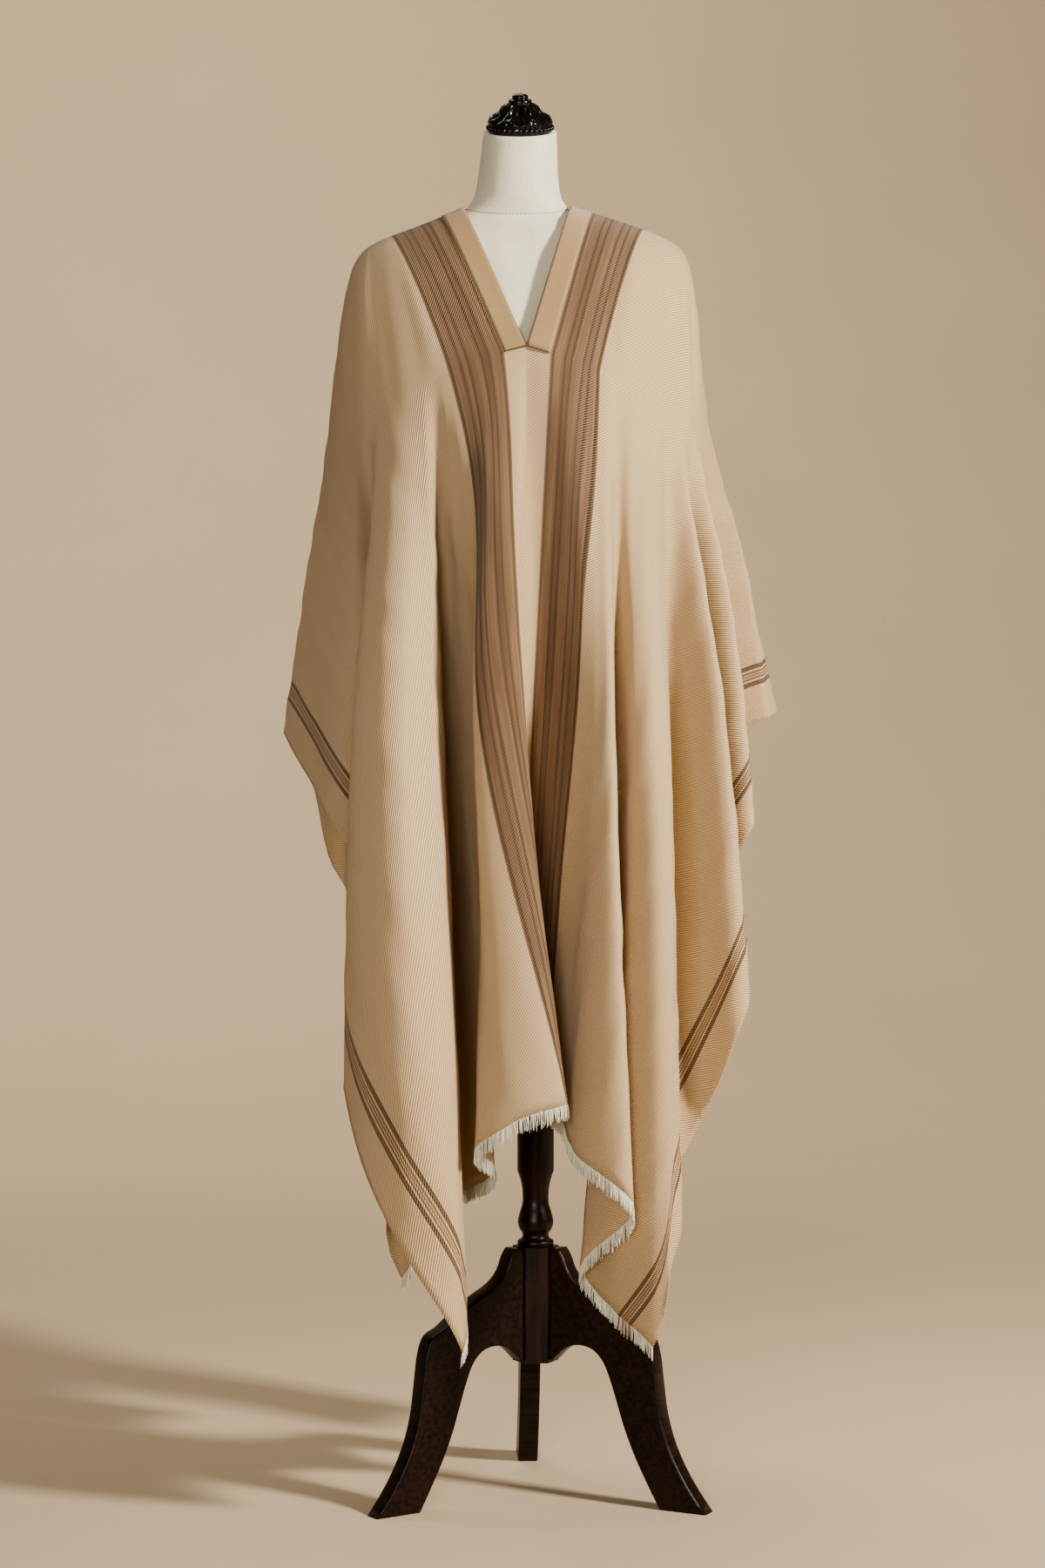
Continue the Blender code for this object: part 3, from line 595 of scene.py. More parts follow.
def twill_look():
    """Cream twill with the brown band and side stripes, golden painted shade in its grooves, and light
    coming through.
    """
    n = Nodes("twill")
    place, across, down, middle = cut_places(n)
    brown, dotted = stripe_shares(n, middle)
    wobble = n.noise(n.stretched(place, (60, 25, 1)), 1.0)
    slant = n.math("ADD", across, down)
    slant = n.math("MULTIPLY_ADD", wobble, RIB_WOBBLE, slant)
    rib = wave(n, slant, RIB_PITCH)
    # Ribs and grooves, the grooves darkened with painted shade.
    cream = n.mix(rib, CREAM_GROOVE_SHADE, CREAM_RIB)
    yarn = n.noise(n.stretched(place, (1400, 420, 1)), 1.0, 1.0)
    cream = n.tint(cream, yarn, 0.30, CREAM_YARN)
    # Brown ribs and grooves, the grooves darkened with painted shade.
    tan = n.mix(rib, BROWN_GROOVE_SHADE, BROWN_RIB)
    pale = n.noise(n.stretched(place, (330, 6, 1)), 1.0, 1.0)
    tan = n.tint(tan, n.step(pale, 0.55, 0.05), 0.30, TAN_YARN)
    deep = n.between(middle, BAND_DOTS[1], BAND_DOTS[2], 0.0008)
    border = n.between(middle, BAND_END - 0.0045, BAND_END, 0.0008)
    tan = n.tint(tan, total(n, [deep, border]), 0.45, DEEP_TAN)
    colour = n.mix(brown, cream, tan)
    dark = n.math("MULTIPLY", dotted, n.step(n.math("SUBTRACT", 1.0, rib), 0.26, 0.12))
    colour = n.mix(dark, colour, DARK_YARN)
    age = n.noise(n.stretched(place, (7, 3, 1)), 1.0, 3.0)
    colour = n.tint(colour, age, 0.16, AGED_TWILL)
    height = n.math("MULTIPLY_ADD", yarn, 0.25, rib)
    sheen = {"Sheen_Weight": 0.12, "Sheen_Roughness": 0.45}
    n.finish(colour, 0.86, n.bump(height, 0.0006), Specular_IOR_Level=0.25, **sheen)
    through = n.add("ShaderNodeBsdfTranslucent", Color=n.mix(0.55, colour, LIGHT_THROUGH))
    blend = n.add("ShaderNodeMixShader", _0=THROUGH_SHARE, _1=n.shader.outputs[0], _2=through)
    n.put(n.tree.nodes["Material Output"].inputs["Surface"], blend)
    return n.material


def facing_look():
    """Plain cream twill, finer and flatter than the cloth's, with painted shade in its grooves."""
    n = Nodes("facing")
    place, across, down, middle = cut_places(n)
    rib = wave(n, n.math("ADD", across, down), FACING_RIB_PITCH)
    fleck = n.noise(n.stretched(place, (900, 900, 1)), 1.0, 2.0)
    # Ribs and grooves, the grooves darkened with painted shade.
    colour = n.mix(rib, FACING_GROOVE_SHADE, FACING_RIB)
    colour = n.tint(colour, fleck, 0.4, FACING_FLECK)
    edge = n.math("SUBTRACT", 1.0, n.step(middle, 0.0016, 0.0008))
    colour = n.tint(colour, edge, 0.55, FACING_FOLD)
    height = n.math("MULTIPLY_ADD", fleck, 0.6, rib)
    return n.finish(colour, 0.88, n.bump(height, 0.00035), Sheen_Weight=0.2, Specular_IOR_Level=0.25)


def fringe_look():
    """Off-white warp ends, brown where they come out of the band and the side stripes."""
    n = Nodes("fringe")
    _, _, _, middle = cut_places(n)
    brown, _ = stripe_shares(n, middle)
    fleck = n.noise(n.object_place(), 700.0, 2.0)
    white = n.mix(fleck, FRINGE_SHADE, FRINGE_LIGHT)
    colour = n.mix(brown, white, n.mix(fleck, BROWN_END_SHADE, BROWN_END_LIGHT))
    return n.finish(colour, 0.85, n.bump(fleck, 0.0003), Sheen_Weight=0.3, Specular_IOR_Level=0.3)


def linen_look():
    """Off-white linen stretched over the form, a little grey where it has been handled."""
    n = Nodes("linen")
    place = n.object_place()
    warp = n.noise(n.stretched(place, (1600, 1600, 120)), 1.0, 1.0)
    weft = n.noise(n.stretched(place, (160, 160, 1700)), 1.0, 1.0)
    weave = n.math("ADD", warp, weft)
    stain = n.noise(n.stretched(place, (26, 26, 7)), 1.0, 3.0)
    colour = n.mix(n.step(stain, 0.52, 0.16), LINEN, LINEN_STAIN)
    slub = n.step(n.noise(n.stretched(place, (500, 500, 60)), 1.0, 1.0), 0.60, 0.06)
    colour = n.tint(colour, weave, 0.16, LINEN_WEAVE)
    colour = n.tint(colour, slub, 0.22, LINEN_SLUB)
    return n.finish(colour, 0.8, n.bump(weave, 0.0004), Sheen_Weight=0.1, Specular_IOR_Level=0.3)


def thread_look():
    n = Nodes("thread")
    fleck = n.noise(n.object_place(), 900.0)
    return n.finish(n.mix(fleck, THREAD_SHADE, THREAD_LIGHT), 0.8, n.bump(fleck, 0.0002))


def ebony_look():
    n = Nodes("ebony")
    place = n.object_place()
    grain = n.noise(n.stretched(place, (220, 220, 60)), 1.0, 3.0)
    colour = n.mix(grain, EBONY_SHADE, EBONY_LIGHT)
    rough = n.math("MULTIPLY_ADD", grain, 0.16, 0.12)
    return n.finish(colour, rough, n.bump(grain, 0.00015), Specular_IOR_Level=0.35)


def mahogany_look():
    """Dark polished wood with long grain, and paler worn flecks."""
    n = Nodes("mahogany")
    place = n.object_place()
    grain = n.noise(n.stretched(place, (150, 150, 9)), 1.0, 4.0, 0.6)
    pores = n.noise(n.stretched(place, (900, 900, 40)), 1.0, 2.0)
    cloud = n.noise(place, 9.0, 3.0)
    colour = n.mix(n.step(grain, 0.5, 0.14), WOOD_SHADE, WOOD_GRAIN)
    colour = n.tint(colour, n.step(cloud, 0.58, 0.1), 0.4, WOOD_CLOUD)
    nick = n.step(n.noise(place, 210.0, 0.0), 0.90, 0.012)
    colour = n.tint(colour, nick, 0.6, WOOD_NICK)
    rough = n.math("MULTIPLY_ADD", pores, 0.20, 0.24)
    height = n.math("MULTIPLY_ADD", pores, 0.5, grain)
    return n.finish(colour, rough, n.bump(height, 0.0003), Specular_IOR_Level=0.22)


def backdrop_look():
    n = Nodes("backdrop")
    place = n.object_place()
    blotch = n.noise(place, 1.4, 3.0)
    speck = n.step(n.noise(place, 95.0, 1.0), 0.74, 0.02)
    colour = n.mix(blotch, BACKDROP, tuple(c * 1.10 for c in BACKDROP))
    colour = n.tint(colour, speck, 0.25, BACKDROP_SPECK)
    # A darker band across the paper: painted shade where the floor runs into the wall.
    bend_shade = n.between(n.part(place, 1), BEND_SHADE_START, BEND_SHADE_START + BEND_SHADE_LENGTH, 0.8)
    colour = n.tint(colour, bend_shade, 0.30, BACKDROP_BEND_SHADE)
    return n.finish(colour, 0.9, n.bump(n.noise(place, 260.0, 2.0), 0.0003), Specular_IOR_Level=0.2)


def ripples(cuts):
    """Small soft waves in the cloth, long down it and short across it, in metres."""
    s, t = cuts[:, 0], cuts[:, 1]
    hang = np.clip((np.hypot(s, t) - RIPPLE_START) / RIPPLE_FADE, 0, 1)
    found = 0.9 * np.sin(2 * math.pi * (s / 0.083 + 0.6 * np.sin(2 * math.pi * t / 0.9) + 0.1))
    found += 0.7 * np.sin(2 * math.pi * (s / 0.047 - 0.5 * np.sin(2 * math.pi * (t / 0.7 + 0.3))) + 1.3)
    found += 0.5 * np.sin(2 * math.pi * (t / 0.31 + s / 0.19) + 0.7)
    return found * hang * RIPPLE_HEIGHT


def add_cloth(look):
    """The poncho's cloth as one fine sheet. What the facings and the fringe are made from comes back too."""
    downs = np.concatenate([np.linspace(0, 1, YOKE_ROWS + 1), 1 + np.linspace(0, 2, HANG_ROWS + 1)[1:]])
    quarters = drape(downs)
    points, cuts, faces, first = [], [], [], 0
    for grid, cut, _, _, turned in quarters.values():
        faces.append(grid_faces(grid.shape[0], grid.shape[1], turned, first))
        points.append(grid.reshape(-1, 3))
        cuts.append(cut.reshape(-1, 2))
        first += grid.shape[0] * grid.shape[1]
    points, cuts, faces = np.concatenate(points), np.concatenate(cuts), np.concatenate(faces)
    _, kept, index = np.unique(np.round(points, 6), axis=0, return_index=True, return_inverse=True)
    index = index.reshape(-1)
    points, cuts, faces = points[kept], cuts[kept], index[faces]
    outer = points + outward(points, faces, 1) * ripples(cuts)[:, None]
    inner = outer - outward(outer, faces) * CLOTH_THICK
    shape, sides = closed_sheet(outer, inner, faces)
    piece = mesh_piece("poncho_twill", shape, sides, look, np.concatenate([cuts, cuts]))
    numbers, first = {}, 0
    for name, (grid, _, _, _, _) in quarters.items():
        size = grid.shape[0] * grid.shape[1]
        numbers[name] = index[first : first + size].reshape(grid.shape[:2])
        first += size
    return piece, quarters, numbers, outer, inner, downs


def add_facing(name, front, back, folds, cloth, turned, look):
    """A plain strip laid on the cloth beside the slit, over the shoulder from its front end to its back."""
    _, quarters, _, _, _, downs = cloth
    rows, cuts = [], []
    for which, table in ((front, folds[0]), (back, folds[1])):
        grid, cut, _, starts, _ = quarters[which]
        table = np.array(table, float) / 1000
        yoke = np.interp(starts, table[:, 0], table[:, 1])
        strip, places = [], []
        for i in range(YOKE_ROWS + 1):
            across = starts + (yoke - starts) * downs[i]
            at = np.linspace(0.0, FACING_WIDTH, FACING_COLUMNS)
            strip.append(interpolated(at, across, grid[i]))
            places.append(interpolated(at, across, cut[i]))
        rows.append(strip)
        cuts.append(places)
    surface = np.array(rows[0][::-1] + rows[1][1:])
    flat = np.array(cuts[0][::-1] + cuts[1][1:]).reshape(-1, 2)
    faces = grid_faces(surface.shape[0], surface.shape[1], turned)
    points = surface.reshape(-1, 3)
    out = outward(points, faces, 1)
    low = points + out * FACING_LIFT
    crown = 1 + FACING_CROWN * np.sin(np.pi * np.clip(np.abs(flat[:, 0]) / FACING_TURNED, 0, 1))
    high = points + out * (FACING_LIFT + FACING_THICK * crown)[:, None]
    shape, sides = closed_sheet(high, low, faces)
    return mesh_piece(name, shape, sides, look, np.concatenate([flat, flat])), surface


def tubes(paths, radii, sides, cuts=None):
    """Closed tubes along paths that have the same count of points: points, faces and each point's cut."""
    paths = np.asarray(paths)
    count, length = paths.shape[:2]
    way = unit(np.gradient(paths, axis=1))
    guide = np.where(np.abs(way[..., :1]) < 0.8, [1.0, 0, 0], [0, 1.0, 0])
    a = unit(np.cross(way, guide))
    b = np.cross(way, a)
    turn = round_turns(sides)[None, None, :, None]
    ring = np.cos(turn) * a[:, :, None] + np.sin(turn) * b[:, :, None]
    points = paths[:, :, None] + ring * np.asarray(radii)[..., None, None]
    start = (np.arange(count) * length * sides)[:, None, None]
    row = start + np.arange(length - 1)[None, :, None] * sides
    k = np.arange(sides)[None, None, :]
    after = (k + 1) % sides
    corners = (row + k, row + sides + k, row + sides + after, row + after)
    faces = np.stack(corners, -1).reshape(-1, 4).tolist()
    for base in range(0, count * length * sides, length * sides):
        end = base + length * sides
        faces.append(list(range(base, base + sides)))
        faces.append(list(range(end - 1, end - sides - 1, -1)))
    flat = None if cuts is None else np.repeat(cuts, length * sides, axis=0)
    return points.reshape(-1, 3), faces, flat


def add_fringe(name, left, right, cloth, seed, look):
    """Single warp ends that leave the hem along the cloth and then hang down."""
    _, quarters, numbers, outer, inner, _ = cloth
    places, roots, ways = [], [], []
    for which, sign in ((left, -1), (right, 1)):
        _, _, edge, _, _ = quarters[which]
        number = numbers[which]
        on_hem = np.flatnonzero(edge <= HALF_WIDTH + 1e-9)
        on_hem = on_hem[::-1] if sign < 0 else on_hem[1:]
        for j in on_hem:
            last, before = number[-1, j], number[-3, j]
            places.append(sign * edge[j])
            roots.append((outer[last] + inner[last]) / 2)
            ways.append(unit(outer[last] - outer[before]))
    places, roots, ways = np.array(places), np.array(roots), np.array(ways)
    chance = np.random.default_rng(seed)
    count = int((places[-1] - places[0]) / FRINGE_PITCH)
    at = np.linspace(places[0] + FRINGE_INSET, places[-1] - FRINGE_INSET, count)
    at = at + chance.normal(0, FRINGE_JITTER, count)
    root, way = interpolated(at, places, roots), interpolated(at, places, ways)
    lock = np.sin(at * 2 * math.pi / LOCK_PITCH + chance.normal(0, 0.5, count))
    side = unit(np.gradient(root, axis=0))
    length = FRINGE_LENGTH * (1 + chance.normal(0, 0.09, count))
    lean = 0.10 * chance.normal(0, 1, count) + 0.14 * lock
    bulge = 0.12 * chance.normal(0, 1, (count, 1)) * np.cross(side, way)
    path = [root - way * FRINGE_ROOT]
    direction = way + side * lean[:, None] + bulge
    step = (length / STRAND_STEPS)[:, None]
    for _ in range(STRAND_STEPS):
        direction = direction + (0, 0, -STRAND_SAG)
        direction = unit(direction + side * (0.07 * chance.normal(0, 1, count))[:, None])
        path.append(path[-1] + direction * step)
    path = np.stack(path, 1)
    taper = np.linspace(1.0, STRAND_TAPER, path.shape[1])[None]
    radii = STRAND_RADIUS * taper * (1 + 0.15 * chance.normal(0, 1, (count, 1)))
    flat = np.stack([at, np.full(count, HALF_LENGTH)], 1)
    points, faces, flat = tubes(path, np.abs(radii), STRAND_SIDES, flat)
    return mesh_piece(name, points, faces, look, flat)


def add_stitches(surfaces, look):
    """Small stitches across the lower ends of the facings."""
    paths = []
    for surface in surfaces:
        end = surface[0]
        across = unit(end[-1] - end[0])
        front = np.array([0, -STITCH_FRONT, 0])
        at = np.linspace(0.02, 0.98, STITCHES) * (len(end) - 1)
        for here in interpolated(at, np.arange(len(end)), end):
            a = here - across * STITCH_HALF + front + (0, 0, STITCH_SLANT)
            b = here + across * STITCH_HALF + front - (0, 0, STITCH_SLANT)
            paths.append([a - front * 0.6, a, (a + b) / 2 + front * 0.15, b, b - front * 0.6])
    points, faces, _ = tubes(np.array(paths), np.full((len(paths), 5), STITCH_RADIUS), THREAD_SIDES)
    return mesh_piece("neck_stitches", points, faces, look)


# The dress form's rings in mm: z, left x, right x, half depth, y of the middle, then tilt in degrees.
FORM_RINGS = (
    (930, -140, 140, 88, 0, 0),
    (936, -147, 147, 95, 0, 0),
    (980, -146, 146, 95, 0, 0),
    (1080, -128, 128, 86, 0, 0),
    (1160, -128, 126, 88, 0, 0),
    (1260, -146, 140, 102, -3, 0),
    (1350, -166, 156, 109, -6, 0),
    (1420, -188, 172, 104, -4, 0),
    (1480, -205, 180, 86, -2, 0),
    (1525, -210, 184, 72, 0, 0),
    (1553, -202, 180, 62, 0, 0),
    (1571, -184, 168, 57, 0, 0),
    (1589.1, -150, 136.5, 51, -1.5, 0),
    (1604.4, -108, 90, 37, -4, 2),
    (1615, -83, 53, 38, -6, 5),
    (1634, -69, 39, 48, -3, 9),
    (1662, -64, 36, 49, -8, 14),
    (1692, -60, 35, 47, -15, 18),
    (1713.5, -57.5, 34.5, 46, -21, 20),
)
RING_TABLE = np.array(FORM_RINGS) / (1000, 1000, 1000, 1000, 1000, 1)
RING_NUMBERS = np.arange(len(FORM_RINGS))
FORM_SIDES = 96
FORM_ROWS = 109
# Ring numbers either side of a place, and the weight of each, that round off the form's corners.
RING_WEIGHTS = ((-0.5, 1), (-0.25, 2), (0, 3), (0.25, 2), (0.5, 1))
NECK_TILT = 20
# The seam round the neck: its height at the back, how much lower it is in front, and its stitches.
NECK_SEAM = 1.6185
SEAM_DIP = 0.009
SEAM_STITCHES = 144
SEAM_RISE = 0.006
SEAM_RADIUS = 0.00042


def form_point(rings, angle):
    """Points on the form's surface for rows of ring values and an angle round it."""
    z, left, right, depth, y, tilt = rings.T
    lean = np.radians(tilt)
    c, s = np.cos(angle), np.sin(angle)
    x = (left + right) / 2 + (right - left) / 2 * np.sign(c) * np.abs(c) ** 0.9
    out = depth * np.sign(s) * np.abs(s) ** 0.9
    return np.stack([x, y + out * np.cos(lean), z + out * np.sin(lean)], -1)


def ring_values(at):
    """The form's rings at ring numbers at, with each ring's corner rounded off."""
    whole = sum(weight for _, weight in RING_WEIGHTS)
    found = 0
    for shift, weight in RING_WEIGHTS:
        near = np.clip(at + shift, 0, RING_NUMBERS[-1])
        found = found + interpolated(near, RING_NUMBERS, RING_TABLE) * weight / whole
    ends = np.isin(at, (0, RING_NUMBERS[-1]))
    found[ends] = RING_TABLE[np.round(at[ends]).astype(int)]
    return found


def add_form(look, thread):
    """The torso and neck as one smooth loft, with the seam sewn round the base of the neck."""
    at = np.linspace(0, RING_NUMBERS[-1], FORM_ROWS)
    rings = ring_values(at)
    points = np.stack([form_point(rings, a) for a in round_turns(FORM_SIDES)], 1).reshape(-1, 3)
    count = len(rings)
    k = np.arange(FORM_SIDES)
    faces = []
    for i in range(count - 1):
        a, b = i * FORM_SIDES + k, i * FORM_SIDES + (k + 1) % FORM_SIDES
        faces += np.stack([a, b, b + FORM_SIDES, a + FORM_SIDES], 1).tolist()
    faces.append(list(range(FORM_SIDES))[::-1])
    faces.append(list(range((count - 1) * FORM_SIDES, count * FORM_SIDES)))
    form = mesh_piece("form_linen", points, faces, look)
    line, stitches = [], []
    for a in np.linspace(0, 2 * math.pi, 2 * SEAM_STITCHES + 1):
        height = NECK_SEAM - SEAM_DIP * max(-math.sin(a), 0) ** 2
        ring = ring_values(np.interp([height], RING_TABLE[:, 0], RING_NUMBERS))
        line.append(form_point(ring, a)[0])
    line = np.array(line)
    centre = line.mean(0)
    for k in range(0, 2 * SEAM_STITCHES, 2):
        raised = (line[k] + line[k + 1]) / 2 + (line[k] - centre) * SEAM_RISE
        stitches.append([line[k], raised, line[k + 1]])
    points, faces, _ = tubes(np.array(stitches), np.full((len(stitches), 3), SEAM_RADIUS), THREAD_SIDES)
    return form, mesh_piece("neck_seam", points, faces, thread)


# The cap's outline in millimetres: radius, height over the neck. The leaves lie between two of its points.
CAP_PROFILE = (
    (0, 47),
    (7.5, 46.6),
    (9.6, 45.2),
    (10.2, 43.2),
    (10, 41.2),
    (14.2, 39.8),
    (14.8, 37.8),
    (14.6, 35.8),
    (20.5, 32),
    (25, 26.2),
    (30, 20.8),
    (36, 17.2),
    (39.5, 14.8),
    (41.2, 12),
    (40, 9.2),
    (40.5, 5.6),
    (40, 0),
)
CAP_ROWS = 100
CAP_SIDES = 216
CAP_GAP = 0.0004
CAP_LEAF_SPAN = (7, 13)
CAP_LEAVES = 8
# The leaves: how far they sink in, stand out, are parted and veined, and curl out at their tips.
LEAF_SINK = 0.0034
LEAF_RELIEF = 0.0046
LEAF_PARTING = 0.0020
LEAF_VEINS = 0.0009
LEAF_CURL = 0.0026
CAP_BEADS = 36
BEAD_REACH = 0.0402
BEAD_HEIGHT = 0.0056
BEAD_SIZE = (0.0029, 0.0029, 0.0034)
BEAD_ROWS = 7
BEAD_SIDES = 10
# A radius that is nearly nothing, for the points on an axis.
ON_AXIS = 0.0001


def cap_surface():
    """Points of the turned cap, in rows from its top down, with leaves carved round its slope."""
    profile = np.array(CAP_PROFILE) / 1000
    knots = distances(profile)
    fine = np.linspace(0, knots[-1], CAP_ROWS)
    rows = smooth_curve(knots, profile, fine)
    rows[:, 0] = np.clip(rows[:, 0], 0, None)
    first, last = CAP_LEAF_SPAN
    slope = np.clip((fine - knots[first]) / (knots[last] - knots[first]), 0, 1)
    leafy = (np.sin(math.pi * slope) ** 0.5 * (fine > knots[first]) * (fine < knots[last]))[:, None]
    slope = slope[:, None]
    beat = CAP_LEAVES * round_turns(CAP_SIDES)[None]
    mid = np.abs(np.sin(beat / 2))
    relief = LEAF_RELIEF * mid**0.7 - LEAF_PARTING * np.exp(-((1 - mid) / 0.012))
    lobes = np.cos(2.5 * beat + 9 * slope) + np.cos(2.5 * beat - 9 * slope)
    relief = relief + LEAF_VEINS * lobes * mid
    curl = LEAF_CURL * np.exp(-(((slope - 0.84) / 0.10) ** 2)) * mid**2
    radius = rows[:, :1] + leafy * (relief - LEAF_SINK) + leafy * curl
    radius = np.maximum(radius, 0)
    radius[0] = ON_AXIS / 2
    height = rows[:, 1:] + leafy * relief * 0.4
    return lathe_points(radius, height, CAP_SIDES)


def cap_beads(first):
    """The beads round the cap's rim: points, and faces that count from point number first."""
    up = math.pi * (np.arange(BEAD_ROWS)[:, None] + 0.5) / BEAD_ROWS
    bead = lathe_points(np.sin(up), np.cos(up), BEAD_SIDES) * BEAD_SIZE
    points, faces = [], []
    for turn in round_turns(CAP_BEADS):
        start = first + len(points)
        points.extend(bead + (BEAD_REACH * math.cos(turn), BEAD_REACH * math.sin(turn), BEAD_HEIGHT))
        faces += [[start + k for k in face] for face in lathe_faces(BEAD_ROWS, BEAD_SIDES)]
    return points, faces


def add_cap(look):
    """The turned cap, carved with leaves and beads, and tilted as the neck's top is."""
    points = cap_surface()
    beads, bead_faces = cap_beads(len(points))
    points = np.concatenate([points, beads])
    lean = math.radians(NECK_TILT)
    turned = points.copy()
    turned[:, 1] = points[:, 1] * math.cos(lean) - points[:, 2] * math.sin(lean)
    turned[:, 2] = points[:, 1] * math.sin(lean) + points[:, 2] * math.cos(lean)
    z, left, right, _, y, _ = RING_TABLE[-1]
    turned += ((left + right) / 2, y - CAP_GAP * math.sin(lean), z + CAP_GAP * math.cos(lean))
    return mesh_piece("cap_carved", turned, lathe_faces(CAP_ROWS, CAP_SIDES) + bead_faces, look)


# The pole's outline as radius and height, and the legs' edges as reach and height, in millimetres.
POLE_X = 0.008
POLE_SIDES = 72
POLE_CHAMFER = 0.0016
POLE_SPAN_STEPS = 5
POLE_PROFILE = (
    (23.1, 929.2),
    (23.1, 407),
    (20.9, 401),
    (18, 390.5),
    (16.5, 378),
    (16.8, 366),
    (20.5, 353),
    (22.5, 343),
    (20.5, 334),
    (16.5, 327),
    (17.5, 322.5),
    (22.5, 319),
    (23, 316),
    (22.2, 313),
)
LEG_TURNS = {"leg_left": -57, "leg_right": 63, "leg_back": 183}
LEG_THICK = 0.026
LEG_INNER_REACH = 0.0253
LEG_TOP_EDGE = (
    (38.5, 312),
    (45, 302),
    (52, 285),
    (66, 270),
    (90, 257),
    (118, 240),
    (142, 222),
    (159, 213),
    (167, 196),
    (173, 156),
    (179, 114),
    (191, 75.5),
    (211, 38),
    (239, 0),
)
LEG_UNDER_EDGE = (
    (177, 0),
    (161, 28),
    (144, 60),
    (129, 95),
    (118, 128),
    (108, 157),
    (99, 176),
    (86, 189),
    (70, 193.5),
    (56, 192),
    (43, 185),
    (30, 172),
)
EDGE_BEVEL = 0.0028
LEG_SPAN_STEPS = 3


def eased(outline, count):
    """A smooth line in metres through an outline's points, with count steps a span."""
    values = np.array(outline) / 1000
    knots = distances(values)
    at = np.interp(np.arange((len(values) - 1) * count + 1) / count, np.arange(len(values)), knots)
    return smooth_curve(knots, values, at)


def add_pole(look):
    """The pole and its turned foot."""
    wide, top = np.array(POLE_PROFILE[0]) / 1000
    head = [[ON_AXIS, top], [wide - POLE_CHAMFER, top], [wide, top - POLE_CHAMFER]]
    turned = eased(POLE_PROFILE[1:], POLE_SPAN_STEPS)
    rows = np.concatenate([head, turned, [[ON_AXIS, turned[-1, 1]]]])
    points = lathe_points(rows[:, :1], rows[:, 1:], POLE_SIDES) + (POLE_X, 0, 0)
    return mesh_piece("pole_wood", points, lathe_faces(len(rows), POLE_SIDES), look)


def add_leg(name, turn, look):
    """A shaped leg cut from board, with its edges eased."""
    top, under = eased(LEG_TOP_EDGE, LEG_SPAN_STEPS), eased(LEG_UNDER_EDGE, LEG_SPAN_STEPS)
    inner = [[LEG_INNER_REACH, top[0, 1]]], [[LEG_INNER_REACH, under[-1, 1]]]
    outline = np.concatenate([inner[0], top, under, inner[1]])
    curve = bpy.data.curves.new(name, "CURVE")
    curve.dimensions = "2D"
    curve.fill_mode = "BOTH"
    curve.extrude = LEG_THICK / 2 - EDGE_BEVEL
    curve.bevel_depth = EDGE_BEVEL
    curve.bevel_resolution = 3
    curve.offset = -EDGE_BEVEL
    line = curve.splines.new("POLY")
    line.points.add(len(outline) - 1)
    for point, (x, y) in zip(line.points, outline):
        point.co = (x, y, 0, 1)
    line.use_cyclic_u = True
    made = bpy.data.objects.new(name, curve)
    curve.materials.append(look)
    bpy.context.scene.collection.objects.link(made)
    made.rotation_euler = (math.radians(90), 0, math.radians(turn - 90))
    made.location.x = POLE_X
    return made


PAPER_FRONT = -12.0
PAPER_BACK = 7.5
PAPER_BEND = 4.5
PAPER_TOP = 8.0
PAPER_WIDE = 20.0
PAPER_BEND_STEPS = 24


def add_backdrop(look):
    """Paper that runs along the floor and up behind."""
    start = PAPER_BACK - PAPER_BEND
    line = [(PAPER_FRONT, 0.0), (start, 0.0)]
    for a in np.linspace(0, math.pi / 2, PAPER_BEND_STEPS + 1)[1:]:
        line.append((start + PAPER_BEND * math.sin(a), PAPER_BEND - PAPER_BEND * math.cos(a)))
    line.append((PAPER_BACK, PAPER_TOP))
    points = [(x, y, z) for y, z in line for x in (-PAPER_WIDE / 2, PAPER_WIDE / 2)]
    faces = [[2 * i, 2 * i + 1, 2 * i + 3, 2 * i + 2] for i in range(len(line) - 1)]
    return mesh_piece("backdrop", points, faces, look)


# Each light's name, place, target, size, power in watts and colour.
LIGHTS = (
    ("key", (3.2, -2.1, 2.6), (0, 0, 0.95), (0.5, 0.5), 335, (1.0, 0.95, 0.87)),
    ("fill", (-0.8, -5.0, 1.6), (0, 0, 0.9), (1.2, 1.2), 124, (1.0, 0.96, 0.90)),
    ("wash", (-1.6, 2.5, 5.5), (-1.2, 6.5, 1.2), (4.0, 2.0), 290, (1.0, 0.94, 0.85)),
)
ROOM_COLOUR = (1.0, 0.90, 0.78, 1)
ROOM_STRENGTH = 0.15
CAMERA_PLACE = (-0.0085, -3.8, 0.895)
CAMERA_LENS = 69.08
CAMERA_SENSOR = 36


def add_light(name, place, target, size, power, colour):
    data = bpy.data.lights.new(name, "AREA")
    data.shape = "RECTANGLE"
    data.size, data.size_y = size
    data.energy = power
    data.color = colour
    light = bpy.data.objects.new(name, data)
    light.location = place
    light.rotation_euler = (Vector(target) - Vector(place)).to_track_quat("-Z", "Y").to_euler()
    bpy.context.scene.collection.objects.link(light)


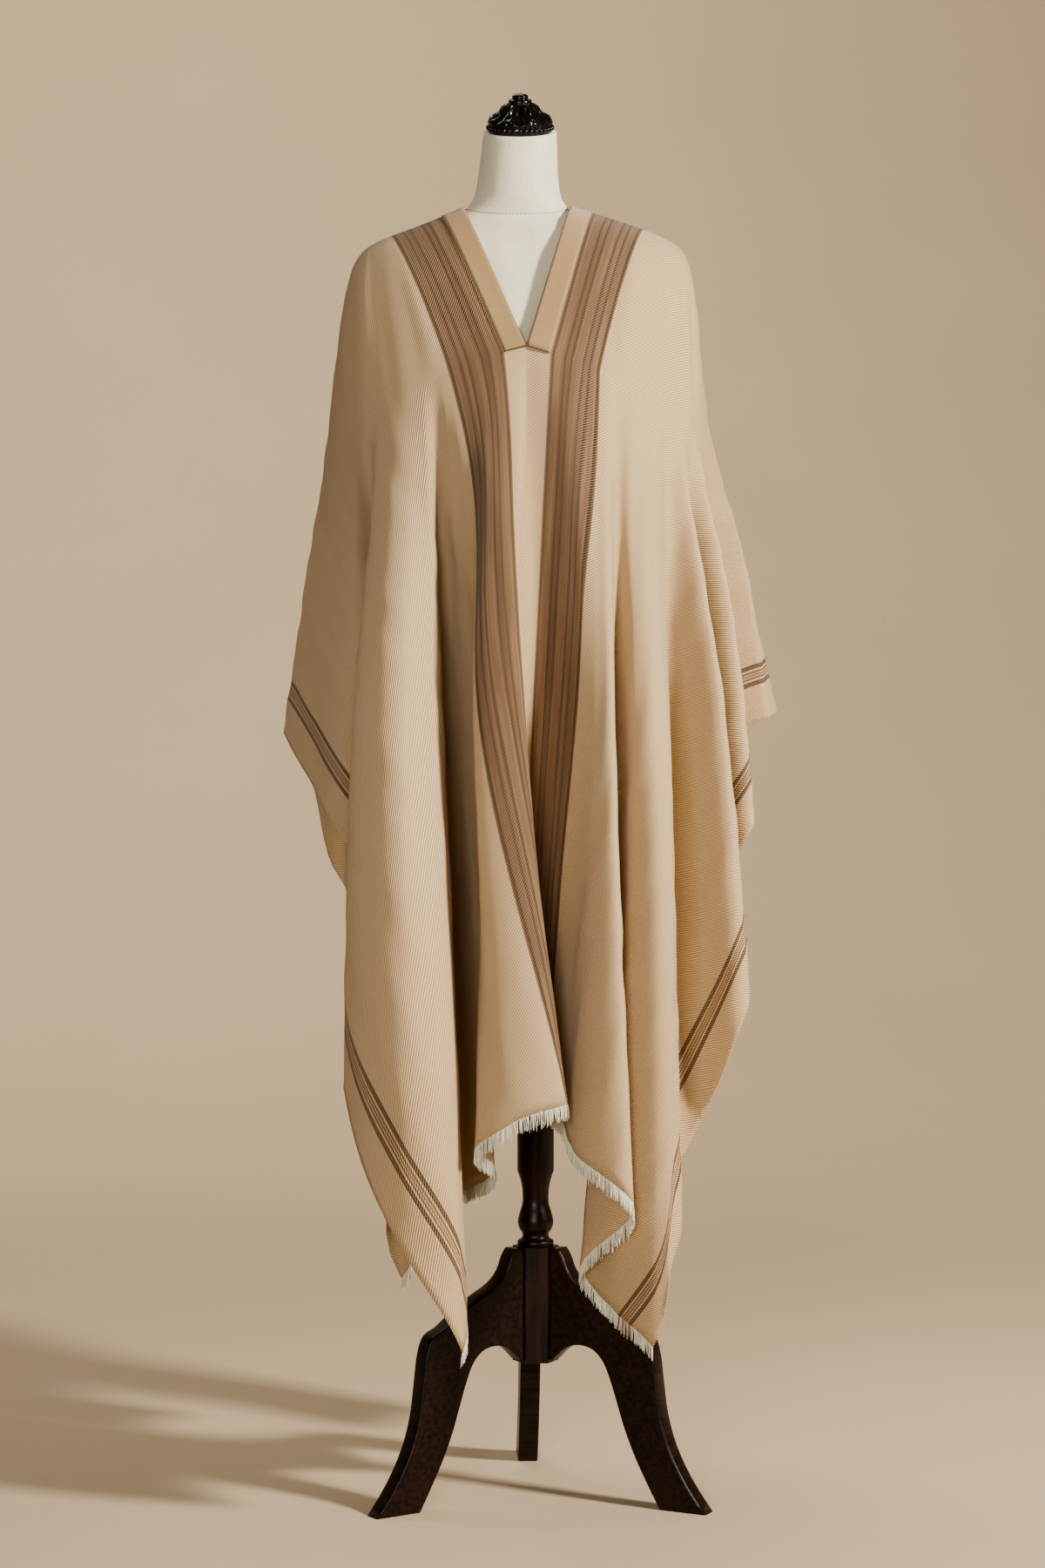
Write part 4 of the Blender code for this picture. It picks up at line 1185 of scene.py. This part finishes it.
def add_room_light():
    world = bpy.data.worlds.new("room")
    world.use_nodes = True
    inputs = world.node_tree.nodes["Background"].inputs
    inputs["Color"].default_value = ROOM_COLOUR
    inputs["Strength"].default_value = ROOM_STRENGTH
    bpy.context.scene.world = world


def add_camera():
    """A level camera straight in front, at the photograph's height and distance."""
    data = bpy.data.cameras.new("camera")
    data.lens = CAMERA_LENS
    data.sensor_width = CAMERA_SENSOR
    camera = bpy.data.objects.new("camera", data)
    camera.location = CAMERA_PLACE
    camera.rotation_euler = (math.radians(90), 0, 0)
    bpy.context.scene.collection.objects.link(camera)
    bpy.context.scene.camera = camera


def dress():
    twill, facing, fringe = twill_look(), facing_look(), fringe_look()
    linen, thread, wood = linen_look(), thread_look(), mahogany_look()

    cloth = add_cloth(twill)
    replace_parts(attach(cloth[0], "root"), "poncho_cloth")
    left, left_surface = add_facing(
        "facing_left_strip", "front_left", "back_left", (FRONT_LEFT, BACK_LEFT), cloth, 1, facing
    )
    right, right_surface = add_facing(
        "facing_right_strip", "front_right", "back_right", (FRONT_RIGHT, BACK_RIGHT), cloth, -1, facing
    )
    for strip, node in ((left, "facing_left"), (right, "facing_right")):
        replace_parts(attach(strip, "root"), node)
    front = add_fringe("fringe_front_ends", "front_left", "front_right", cloth, 3, fringe)
    back = add_fringe("fringe_back_ends", "back_left", "back_right", cloth, 4, fringe)
    for ends, node in ((front, "fringe_front"), (back, "fringe_back")):
        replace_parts(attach(ends, "root"), node)
    stitches = add_stitches((left_surface, right_surface), thread)
    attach(stitches, "root")

    form, seam = add_form(linen, thread)
    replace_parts(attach(form, "root"), "dress_form")
    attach(seam, "root")
    cap = add_cap(ebony_look())
    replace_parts(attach(cap, "root"), "neck_cap")
    pole = add_pole(wood)
    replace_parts(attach(pole, "root"), "pole")
    for name, turn in LEG_TURNS.items():
        leg = add_leg(name + "_wood", turn, wood)
        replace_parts(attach(leg, "root"), name)
    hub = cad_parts["hub"]
    hub.data.materials.clear()
    hub.data.materials.append(wood)


dress()
paper = add_backdrop(backdrop_look())
bpy.context.scene.view_settings.look = "AgX - Medium High Contrast"
for light in LIGHTS:
    add_light(*light)
add_room_light()
add_camera()
